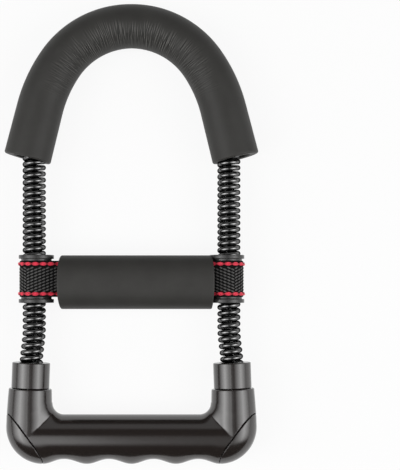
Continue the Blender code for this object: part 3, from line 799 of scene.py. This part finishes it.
def make_bow():
    angles = np.pi - (np.arange(BOW_SIDES) + 0.5) * 2 * np.pi / BOW_SIDES
    creases = bow_creases()
    crown = np.arange(0, CREASED, CREASE_STEP)
    stations = [*crown, *np.linspace(CREASED, BOW_HALF - FOAM_EDGE, LEG_STATIONS)]
    depths = {side: [wrinkle_depth(side * travel, angles, creases) for travel in stations]
              for side in (-1, 1)}
    left = bow_half(-1, stations, depths[-1], angles)
    right = bow_half(1, stations, depths[1], angles)
    bow = skin("foam_bow", left[::-1] + right[1:], FOAM, capped=True)
    smooth = [np.zeros(BOW_SIDES)] * (len(right) - len(stations))
    drawn_in = np.concatenate(smooth + depths[-1][::-1] + depths[1][1:] + smooth)
    # The drawn-in depth of each point; the foam's colour uses it for painted shade in the creases and a
    # painted highlight on their banks
    crease = bow.data.attributes.new("crease", "FLOAT", "POINT")
    crease.data.foreach_set("value", np.clip(drawn_in / DEEP_CREASE, -1.0, 1.0).astype(np.float32))
    shade(bow, 60)
    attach(bow, "bow")
    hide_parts("arch_foam")


# Centre pad

def strap_line(radius):
    """Half gap of the flat stretch and slope of the taper, for one layer round the sleeves."""
    half = STRAP_CORE + radius - STRAP_INNER
    reach = SLEEVE_X - NARROW
    slope = math.asin(radius / math.hypot(reach, half)) - math.atan2(half, reach)
    return half, slope


def pad_section(height, depth):
    """Points (y, z) of the pad's soft-cornered oval."""
    angles = (np.arange(PAD_SIDES) + 0.5) * 2 * np.pi / PAD_SIDES
    rise = np.sign(np.sin(angles)) * np.abs(np.sin(angles)) ** PAD_SQUARENESS
    front = np.sign(np.cos(angles)) * np.abs(np.cos(angles)) ** PAD_SQUARENESS
    return PAD_Y + rise * height, HALF_DEPTH + front * depth


def pad_outline(shrink):
    """The outer section, flat where the pad lies on the floor's level."""
    y, z = pad_section(PAD_HALF_HEIGHT - shrink, FOAM_HALF_DEPTH - shrink)
    return y, np.maximum(z, 0.0)


def pad_slot(x, play):
    """The slot round the strap, wider where the strap spreads out to the sleeves."""
    flat, slope = strap_line(STRAP_OUTER + THREAD_ROOM)
    widening = max(0.0, abs(x) + play - NARROW)
    y, z = pad_section(1.0, 1.0)
    square = np.maximum(np.abs(y - PAD_Y), np.abs(z - HALF_DEPTH))
    return (SLEEVE_Y + (y - PAD_Y) / square * (STRAP_WIDTH / 2 + 2 * GAP),
            HALF_DEPTH + (z - HALF_DEPTH) / square * (flat + GAP + widening * math.tan(slope)))


def pad_face(end, share):
    """A ring of an end face, from its rounded edge at 0 to the slot at 1, hollowed round the sleeve."""
    y, z = pad_outline(PAD_EDGE)
    slot_y, slot_z = pad_slot(end.x, end.play)
    y = y + (slot_y - y) * share
    z = z + (slot_z - z) * share
    out = end.side * end.x - end.bulge * ((y - PAD_Y) / PAD_HALF_HEIGHT) ** 2
    saddle = FLANGE_RADIUS + 2 * GAP
    off_axis = z - HALF_DEPTH
    limit = SLEEVE_X - end.play - np.sqrt(np.maximum(saddle ** 2 - off_axis ** 2, 0.0))
    out = np.where(np.abs(off_axis) < saddle, np.minimum(out, limit), out)
    return np.stack([end.side * out, y, z], axis=1)


def pad_ring(x, shrink, end):
    """A ring of the outer skin, which follows the bulge of an end that is near."""
    y, z = pad_outline(shrink)
    middle = (LEFT_END.x + RIGHT_END.x) / 2
    half = (RIGHT_END.x - LEFT_END.x) / 2
    near = smoothstep(BULGE_START, 1.0, end.side * (x - middle) / half)
    drawn_back = end.bulge * ((y - PAD_Y) / PAD_HALF_HEIGHT) ** 2 * near
    return np.stack([x - end.side * drawn_back, y, z], axis=1)


def pad_edge(end):
    """Rings over the rounded edge of an end, from its face to the outer skin."""
    rings = []
    for i in range(1, PAD_EDGE_STEPS + 1):
        turn = math.pi / 2 * (1 - i / PAD_EDGE_STEPS)
        x = end.x - end.side * PAD_EDGE * (1 - math.sin(turn))
        rings.append(pad_ring(x, PAD_EDGE * (1 - math.cos(turn)), end))
    return rings


def pad_bore():
    """Rings of the slot through the pad, from the right end to the left."""
    rings = []
    for x, play in ((NARROW, 0.0), (0.0, 0.0), (PAD_PLAY - NARROW, PAD_PLAY)):
        y, z = pad_slot(x, play)
        rings.append(np.stack([np.full_like(y, x), y, z], axis=1))
    return rings


def make_pad():
    rings = [pad_face(LEFT_END, share) for share in PAD_FACE_SHARES] + pad_edge(LEFT_END)
    start = LEFT_END.x + PAD_EDGE
    stop = RIGHT_END.x - PAD_EDGE
    for i in range(1, PAD_STEPS):
        x = start + (stop - start) * i / PAD_STEPS
        rings.append(pad_ring(x, 0.0, LEFT_END if x < (start + stop) / 2 else RIGHT_END))
    rings += pad_edge(RIGHT_END)[::-1]
    rings += [pad_face(RIGHT_END, share) for share in PAD_FACE_SHARES[::-1]]
    pad = skin("centre_pad", rings + pad_bore(), FOAM, looped=True)
    shade(pad, 50)
    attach(pad, "pad_cushion")
    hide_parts("pad_foam")


# Sleeves, strap and stitches

def make_sleeves():
    top = (SLEEVE_HIGH[1] - SLEEVE_LOW[1]) / 2
    step = top - FLANGE_THICKNESS
    outline = [(SLEEVE_BORE, top), (FLANGE_RADIUS, top), (FLANGE_RADIUS, step), (BARREL_RADIUS, step),
               (BARREL_RADIUS, -step), (FLANGE_RADIUS, -step), (FLANGE_RADIUS, -top), (SLEEVE_BORE, -top)]
    for name, side in SIDES.items():
        sleeve = turned(name + "_spool", rounded(outline, SLEEVE_ROUNDING), SATIN,
                        (side * SLEEVE_X, SLEEVE_Y))
        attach(sleeve, "pad_carrier")
        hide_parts(name + "_sleeve")


def strap_route(radius, arc_steps=48):
    """Closed route (x, z from the middle) of one layer round both sleeves."""
    half, slope = strap_line(radius)
    points = []
    for side in (1, -1):
        points.append((side * NARROW, side * half))
        for i in range(arc_steps + 1):
            angle = (math.pi / 2 + slope) * (1 - 2 * i / arc_steps)
            points.append((side * (SLEEVE_X + radius * math.cos(angle)), side * radius * math.sin(angle)))
        points.append((side * NARROW, -side * half))
    return points


def make_strap():
    """The webbing's flat ground, with rounded edges, under its yarn."""
    core = STRAP_OUTER - STRAP_INNER - YARN_THICKNESS / 2
    middle = STRAP_INNER + core / 2
    edge_steps = 6
    section = []
    half = STRAP_WIDTH / 2 - core / 2
    for side in (1, -1):
        for i in range(edge_steps + 1):
            angle = math.pi / 2 * (1 - 2 * i / edge_steps)
            section.append((side * (half + core / 2 * math.cos(angle)), side * core / 2 * math.sin(angle)))
    rings = []
    for across, up in section:
        rings.append([(x, SLEEVE_Y + across, HALF_DEPTH + z) for x, z in strap_route(middle + up)])
    strap = skin("webbing", rings, GROUND, looped=True)
    shade(strap, 50)
    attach(strap, "pad_carrier")
    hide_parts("strap")


def along_strap(net, curve, distance):
    """Place, heading and outward direction at a distance along a layer of the strap."""
    place = net.node("GeometryNodeSampleCurve", {"mode": "LENGTH"}, {"Curves": curve, "Length": distance},
                     out="Position")
    heading = place.beside("Tangent")
    return place, heading, net.vector("CROSS_PRODUCT", heading, (0, 1, 0))


def yarn_tree(net, given):
    """Floats of yarn in staggered columns; they slant one way and turn back to the other at the bend."""
    index = net.node("GeometryNodeInputIndex")
    column = (index / given["Rows"]).floor()
    row = index - column * given["Rows"]
    odd = column - 2.0 * (column / 2.0).floor()
    place, heading, outward = along_strap(net, given["Geometry"], column * given["Column pitch"])
    rise = given["Row pitch"] * (row - given["Rows"] * 0.5 + 0.5 * odd)
    points = net.node("GeometryNodePoints", None, {"Count": given["Rows"] * given["Columns"]})
    set_out = net.node("GeometryNodeSetPosition", None,
                       {"Geometry": points, "Position": net.vector("ADD", place, net.xyz(0.0, rise, 0.0))})
    x = net.node("ShaderNodeSeparateXYZ", None, {0: place}, out="X")
    from_middle = x.unsigned()
    slant = given["Slant"] * x.sign() * (2.0 * from_middle.above(given["Bend"]) - 1.0)
    stand = net.node("FunctionNodeAxesToRotation", {"primary_axis": "Z", "secondary_axis": "X"},
                     {"Primary Axis": outward, "Secondary Axis": heading})
    tilt = net.node("FunctionNodeAxisAngleToRotation", None, {"Axis": (0, 0, 1), "Angle": slant})
    turn = net.node("FunctionNodeRotateRotation", {"rotation_space": "LOCAL"},
                    {"Rotation": stand, "Rotate By": tilt})
    ball = net.node("GeometryNodeMeshUVSphere", None, {"Segments": 10, "Rings": 6, "Radius": 0.5})
    size = net.xyz(given["Float length"], given["Float width"], given["Float height"])
    lens = net.node("GeometryNodeTransform", None, {"Geometry": ball, "Scale": size})
    soft = net.node("GeometryNodeSetShadeSmooth", None, {"Geometry": lens})
    shown = from_middle.above(given["Hidden"])
    return net.node("GeometryNodeInstanceOnPoints", None,
                    {"Points": set_out, "Selection": shown, "Instance": soft, "Rotation": turn})


def stitch_tree(net, given):
    """Two strands swing across the line, over and under each other, round a third that runs straight."""
    index = net.node("GeometryNodeInputIndex")
    strands = net.node("GeometryNodeJoinGeometry")
    for start, share in ((0.0, 1.0), (math.pi, 1.0), (0.0, 0.0)):
        even = net.node("GeometryNodeResampleCurve", {"mode": "LENGTH"},
                        {"Curve": given["Geometry"], "Length": given["Step"]})
        phase = index * given["Step"] * math.pi / given["Stitch"] + start
        sine = phase.sine()
        outward = net.vector("CROSS_PRODUCT", net.node("GeometryNodeInputTangent"), (0, 1, 0))
        lift = net.node("ShaderNodeVectorMath", {"operation": "SCALE"},
                        {0: outward, "Scale": share * given["Dip"] * phase.cosine()})
        shift = net.vector("ADD", lift, net.xyz(0.0, share * given["Swing"] * sine, 0.0))
        swung = net.node("GeometryNodeSetPosition", None, {"Geometry": even, "Offset": shift})
        # How open the loop is here; the thread's colour uses it for painted shade at the crossings and a
        # painted highlight in the open loops
        marked = net.node("GeometryNodeStoreNamedAttribute", {"data_type": "FLOAT", "domain": "POINT"},
                          {"Geometry": swung, "Name": "open_loop", "Value": sine.unsigned()})
        section = net.node("GeometryNodeCurvePrimitiveCircle", None,
                           {"Resolution": 8, "Radius": given["Strand radius"]})
        strand = net.node("GeometryNodeCurveToMesh", None, {"Curve": marked, "Profile Curve": section})
        net.tree.links.new(strand.socket, strands.socket.node.inputs[0])
    return net.node("GeometryNodeSetShadeSmooth", None, {"Geometry": strands})


def route_length(points):
    return sum(math.dist(a, b) for a, b in zip(points, points[1:] + points[:1]))


def make_yarn():
    """The woven floats between the two stitch lines."""
    route = [(x, SLEEVE_Y, HALF_DEPTH + z) for x, z in strap_route(STRAP_OUTER - YARN_THICKNESS / 2)]
    columns = round(route_length(route) / (2 * COLUMN_PITCH)) * 2
    yarn = made_by_nodes("webbing_yarn", yarn_tree, poly_curve("yarn_route", route, True), YARN, **{
        "Rows": YARN_ROWS,
        "Columns": columns,
        "Column pitch": route_length(route) / columns,
        "Row pitch": ROW_PITCH,
        "Slant": YARN_STEEPNESS * math.atan2(ROW_PITCH / 2, COLUMN_PITCH),
        "Bend": WEAVE_BEND,
        "Hidden": NARROW - YARN_UNDER_PAD,
        "Float length": FLOAT_LENGTH,
        "Float width": FLOAT_WIDTH,
        "Float height": YARN_THICKNESS,
    })
    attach(yarn, "pad_carrier")


def make_stitches():
    for name, side in (("upper", 1), ("lower", -1)):
        y = SLEEVE_Y + side * THREAD_SPACING / 2
        route = [(x, y, HALF_DEPTH + z) for x, z in strap_route(STRAP_OUTER + STRAND_RADIUS / 3)]
        length = route_length(route)
        loops = round(length / (2 * STITCH_LENGTH)) * 2
        line = poly_curve(name + "_stitch_route", route, True)
        stitches = made_by_nodes(name + "_chain_stitch", stitch_tree, line, THREAD, **{
            "Step": length / (loops * POINTS_A_STITCH),
            "Stitch": length / loops,
            "Dip": STITCH_DIP,
            "Swing": THREAD_WIDTH / 2 - STRAND_RADIUS,
            "Strand radius": STRAND_RADIUS,
        })
        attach(stitches, "pad_carrier")
        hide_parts(name + "_red_stitching")


# Grip

class GripHalf:
    """Rings round the right half of the grip: down the socket, fanned round the corner, along the bar."""

    def __init__(self):
        angles = (np.arange(GRIP_SIDES) + 0.5) * 2 * np.pi / GRIP_SIDES
        self.sine = np.sin(angles)
        self.cosine = np.cos(angles)
        self.lean_sine = math.sin(SOCKET_LEAN)
        self.lean_cosine = math.cos(SOCKET_LEAN)

    def socket_radius(self, height):
        below = (SOCKET_HEIGHT - height) / SOCKET_TAPER_LENGTH
        return SOCKET_TOP_RADIUS + (SOCKET_BASE_RADIUS - SOCKET_TOP_RADIUS) * min(max(below, 0.0), 1.0)

    def on_socket(self, radius, height):
        """A ring square to the leaning socket."""
        return np.stack([CROSSING_X - radius * self.sine * self.lean_cosine - height * self.lean_sine,
                         BAR_Y - radius * self.sine * self.lean_sine + height * self.lean_cosine,
                         HALF_DEPTH + radius * self.cosine], axis=1)

    def underside(self, x):
        """The reach of the lower half: the finger ridges stand along its edge alone."""
        wave = np.where(np.abs(x) < LAST_RIDGE, np.cos(2 * np.pi * x / FINGER_PITCH), 1.0)
        along = smoothstep(LAST_RIDGE - FINGER_PITCH / 2, LAST_RIDGE, np.abs(x))
        return BAR_UNDERSIDE + FINGER_RISE * wave * np.abs(self.sine) ** (RIDGE_SHARPNESS * (1 - along))

    def on_bar(self, x):
        rise = np.where(self.sine > 0, BAR_TOP, self.underside(x))
        return np.stack([np.full(GRIP_SIDES, x), BAR_Y + rise * self.sine,
                         HALF_DEPTH + HALF_DEPTH * self.cosine], axis=1)

    def fan_over_socket(self, turn):
        """Before the mitre: distances from the fillet's centre, half depth and width in from the fillet."""
        height = (FILLET_Y - BAR_Y) - (CROSSING_X - FILLET_X) * math.tan(turn)
        to_bar = float(smoothstep(BAR_SHAPE_START * MITRE, MITRE, turn))
        radius = self.socket_radius(height)
        inner = radius + (BAR_TOP - radius) * to_bar
        outer = radius + (BAR_UNDERSIDE + FINGER_RISE - radius) * to_bar
        depth = radius + (HALF_DEPTH - radius) * to_bar
        reach = np.where(self.sine > 0, inner, outer) * self.sine
        base_x = CROSSING_X - reach * self.lean_cosine
        base_y = BAR_Y - reach * self.lean_sine
        run = (FILLET_X - base_x) * math.sin(turn) + (FILLET_Y - base_y) * math.cos(turn)
        run /= self.lean_cosine * math.cos(turn) - self.lean_sine * math.sin(turn)
        distance = ((base_x - run * self.lean_sine - FILLET_X) * math.cos(turn)
                    - (base_y + run * self.lean_cosine - FILLET_Y) * math.sin(turn))
        return distance, depth, inner - reach

    def fan_over_bar(self, turn):
        """Past the mitre: the same, found in a few rounds because the underside's reach varies."""
        distance = np.full(GRIP_SIDES, INNER_FILLET)
        for _ in range(4):
            x = FILLET_X + distance * math.cos(turn)
            reach = np.where(self.sine > 0, BAR_TOP, self.underside(x)) * self.sine
            distance = (FILLET_Y - BAR_Y - reach) / math.sin(turn)
        return distance, HALF_DEPTH, BAR_TOP - reach

    def fan(self, turn):
        """A ring in a plane through the centre of the inner fillet."""
        distance, depth, width = (self.fan_over_socket if turn <= MITRE else self.fan_over_bar)(turn)
        share = smoothstep(0.0, FILLET_BLEND, width)
        distance = (INNER_FILLET + width) * (1 - share) + distance * share
        return np.stack([FILLET_X + distance * math.cos(turn), FILLET_Y - distance * math.sin(turn),
                         HALF_DEPTH + depth * self.cosine], axis=1)

    def socket_top(self):
        """The flat top round the socket's mouth, then its rounded rim."""
        rings = [self.on_socket(SOCKET_MOUTH_RADIUS, SOCKET_HEIGHT),
                 self.on_socket((SOCKET_MOUTH_RADIUS + SOCKET_TOP_RADIUS) / 2, SOCKET_HEIGHT)]
        for i in range(RIM_STEPS + 1):
            turn = math.pi / 2 * i / RIM_STEPS
            rings.append(self.on_socket(SOCKET_TOP_RADIUS - SOCKET_RIM * (1 - math.sin(turn)),
                                        SOCKET_HEIGHT - SOCKET_RIM * (1 - math.cos(turn))))
        return rings

    def rings(self):
        """All of them, from the socket's mouth to the middle of the bar."""
        rings = self.socket_top()
        for height in np.linspace(SOCKET_HEIGHT - SOCKET_RIM, FILLET_Y - BAR_Y, SOCKET_STEPS + 1)[1:-1]:
            rings.append(self.on_socket(self.socket_radius(height), height))
        rings += [self.fan(turn) for turn in np.linspace(0.0, MITRE, FAN_STEPS + 1)]
        rings += [self.fan(turn) for turn in np.linspace(MITRE, math.pi / 2, FAN_STEPS + 1)[1:-1]]
        rings += [self.on_bar(x) for x in np.linspace(FILLET_X, 0.0, BAR_STEPS + 1)]
        return rings


def seam_planes(side, gap):
    """The two planes of a cap's seam, front and back, with their normals towards the cap."""
    below = math.pi / 2 - CAP_SEAM_ANGLE
    turn = -below if side > 0 else math.pi + below
    out = Vector((math.cos(turn), math.sin(turn), 0))
    place = Vector((side * CROSSING_X + CAP_SEAM_OFFSET * math.cos(turn),
                    BAR_Y + CAP_SEAM_OFFSET * math.sin(turn), HALF_DEPTH)) + out * gap
    planes = []
    for front in (1, -1):
        normal = out * math.cos(CAP_SEAM_SLANT) + Vector((0, 0, front * math.sin(CAP_SEAM_SLANT)))
        planes.append((place, normal))
    return planes


def round_lips(piece, planes):
    """Rounds the edges that a shell has along a seam."""
    mesh = bmesh.new()
    mesh.from_mesh(piece.data)
    lips = set()
    for point, normal in planes:
        near = {vert for vert in mesh.verts if abs((vert.co - point).dot(normal)) < ON_CUT}
        lips |= {edge for edge in mesh.edges if near.issuperset(edge.verts) and edge.is_manifold
                 and edge.calc_face_angle() > SHARP_LIP}
    bmesh.ops.bevel(mesh, geom=list(lips), offset=SEAM_LIP, offset_type="OFFSET", segments=3, profile=0.5,
                    affect="EDGES", clamp_overlap=False)
    mesh.to_mesh(piece.data)
    mesh.free()


def make_grip():
    grip = skin("grip_shell", GripHalf().rings(), GLOSS)
    seams = {side: seam_planes(side, -SEAM_OPENING) for side in (1, -1)}
    tidy(grip, seams[1])
    mirrored(grip, 0, 0.0)
    thicken(grip, HANDLE_WALL)
    round_lips(grip, seams[1] + seams[-1])
    shade(grip, 32)
    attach(grip, "handle")
    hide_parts("grip_body")


def make_caps():
    """Each cap: the socket's circle swept down, round the corner and along the bar, cut at the seam."""
    middle = CORNER_RADIUS - SOCKET_BASE_RADIUS
    foot_y = CORNER_Y + middle * math.sin(SOCKET_LEAN)
    x = CROSSING_X - (foot_y - BAR_Y) * math.tan(SOCKET_LEAN) - middle * math.cos(SOCKET_LEAN)
    limit = math.acos((CAP_CUT_OFF - middle) / SOCKET_BASE_RADIUS)
    for name, side in SIDES.items():
        rings = []
        for i in range(-1, CAP_STEPS + 2):
            turn = -SOCKET_LEAN + (math.pi / 2 + SOCKET_LEAN) * min(max(i, 0), CAP_STEPS) / CAP_STEPS
            run = CAP_OVERRUN if i < 0 else -CAP_OVERRUN if i > CAP_STEPS else 0.0
            ring = []
            for j in range(CAP_SIDES + 1):
                angle = limit * j / CAP_SIDES
                out = middle + SOCKET_BASE_RADIUS * math.cos(angle)
                across = x + out * math.cos(turn) + run * math.sin(turn)
                ring.append((side * across, CORNER_Y - out * math.sin(turn) + run * math.cos(turn),
                             HALF_DEPTH + SOCKET_BASE_RADIUS * math.sin(angle)))
            rings.append(ring)
        cap = skin(name + "_cap_shell", rings, GLOSS, closed=False)
        seam = seam_planes(side, GAP + SEAM_OPENING)
        point, normal = seam[0]
        tidy(cap, [(point, -normal)])
        mirrored(cap, 2, HALF_DEPTH)
        tidy(cap)
        thicken(cap, CAP_WALL)
        round_lips(cap, seam)
        shade(cap, 32)
        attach(cap, "handle")
        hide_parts(name + "_corner_cap")


def make_collars():
    bottom = SOCKET_HEIGHT + GAP
    top = SOCKET_HEIGHT + COLLAR_HEIGHT
    outline = [(COLLAR_BORE, top), (COLLAR_RADIUS, top), (COLLAR_RADIUS, bottom), (COLLAR_BORE, bottom)]
    for name, side in SIDES.items():
        collar = turned(name + "_collar_ring", rounded(outline, COLLAR_ROUNDING), GLOSS,
                        (side * CROSSING_X, BAR_Y), -side * SOCKET_LEAN)
        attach(collar, "handle")
        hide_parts(name + "_socket_collar")


# Floor, lamps and camera

def floor_look(net, place):
    """Plain white, very slightly clouded."""
    cloud = net.noise(place, 3.0)
    return {"Base Color": net.between(cloud, (0.86, 0.86, 0.86, 1), (0.90, 0.90, 0.90, 1))}


def make_stage():
    """A floor that is lifted to white where it is seen, mirrored or shone through; it keeps the shadow."""
    white = finish("white_floor", floor_look, Roughness=0.8)
    tree = white.node_tree
    net = Net(tree)
    camera_ray = net.node("ShaderNodeLightPath", out="Is Camera Ray")
    seen = camera_ray + camera_ray.beside("Is Glossy Ray") + camera_ray.beside("Is Transmission Ray")
    glow = net.node("ShaderNodeEmission", None, {"Color": (1, 1, 1, 1), "Strength": 1.0})
    shader = Wire(net, tree.nodes["Principled BSDF"].outputs[0])
    whitened = net.node("ShaderNodeMixShader", None, {0: seen * FLOOR_WHITE, 1: shader, 2: glow})
    tree.links.new(whitened.socket, tree.nodes["Material Output"].inputs["Surface"])
    square = ((-1, -1), (1, -1), (1, 1), (-1, 1))
    corners = [(x * FLOOR_HALF, y * FLOOR_HALF, -FLOOR_DROP) for x, y in square]
    data = bpy.data.meshes.new("floor")
    data.from_pydata(corners, [], [(0, 1, 2, 3)])
    add("floor", data, white)


def softbox(name, across, along, size, peak, power=4.0, distance=LAMP_DISTANCE):
    """A panel in a direction from the object. Its peak is a radiance; a low power makes it peaked."""
    lamp = bpy.data.lights.new(name, "AREA")
    lamp.shape = "RECTANGLE"
    lamp.size, lamp.size_y = size
    lamp.energy = peak * math.pi * size[0] * size[1]
    lamp.use_nodes = True
    net = Net(lamp.node_tree)
    place = net.node("ShaderNodeNewGeometry", out="Parametric")
    x = net.node("ShaderNodeSeparateXYZ", None, {0: place}, out="X")
    falloff = 1.0
    for share, steepness in ((x, power), (x.beside("Y"), 4.0)):
        offset = (2.0 * share - 1.0).unsigned()
        falloff = falloff * (1.0 - offset.math("POWER", offset, steepness))
    lamp.node_tree.links.new(falloff.socket, lamp.node_tree.nodes["Emission"].inputs["Strength"])
    made = bpy.data.objects.new(name, lamp)
    bpy.context.scene.collection.objects.link(made)
    heading = Vector((math.tan(math.radians(across)), math.tan(math.radians(along)), 1.0)).normalized()
    level = Vector((0, 1, 0)).cross(heading).normalized()
    made.location = heading * distance
    made.rotation_euler = Matrix((level, heading.cross(level), heading)).transposed().to_euler()


def make_lamps():
    softbox("left_softbox", -45, TOWARDS_GRIP, (3.5, 1.9), 4.6, power=0.7)
    softbox("right_softbox", 52, TOWARDS_GRIP, (3.35, 1.9), 4.3, power=0.7)
    softbox("overhead_panel", 2, TOWARDS_GRIP, (0.5, LAMP_LENGTH), 0.33)
    softbox("inner_strip", -9.3, TOWARDS_GRIP, (0.28, LAMP_LENGTH), 0.95)
    softbox("far_panel", 0, 59, (2.4, 1.0), 0.4, distance=1.6)
    world = bpy.data.worlds.new("studio")
    bpy.context.scene.world = world
    world.use_nodes = True
    world.node_tree.nodes["Background"].inputs["Color"].default_value = (1, 1, 1, 1)
    world.node_tree.nodes["Background"].inputs["Strength"].default_value = SKY


def make_camera():
    """Straight above; the shift brings the photograph's frame back over the object."""
    camera = bpy.data.cameras.new("camera")
    camera.sensor_fit = "VERTICAL"
    camera.sensor_height = SENSOR_HEIGHT
    camera.lens = camera.sensor_height * CAMERA_HEIGHT / PICTURE_HEIGHT
    camera.shift_y = (PICTURE_MIDDLE[1] - CAMERA_Y) / PICTURE_HEIGHT
    made = bpy.data.objects.new("camera", camera)
    made.location = (PICTURE_MIDDLE[0], CAMERA_Y, HALF_DEPTH + CAMERA_HEIGHT)
    bpy.context.scene.collection.objects.link(made)
    bpy.context.scene.camera = made


make_camera()
make_springs()
make_bow()
make_pad()
make_sleeves()
make_strap()
make_yarn()
make_stitches()
make_grip()
make_caps()
make_collars()
make_stage()
make_lamps()
for node in frame["nodes"].values():
    node.data.materials.clear()
    node.data.materials.append(ZINC)
bpy.context.scene.view_settings.view_transform = "Standard"
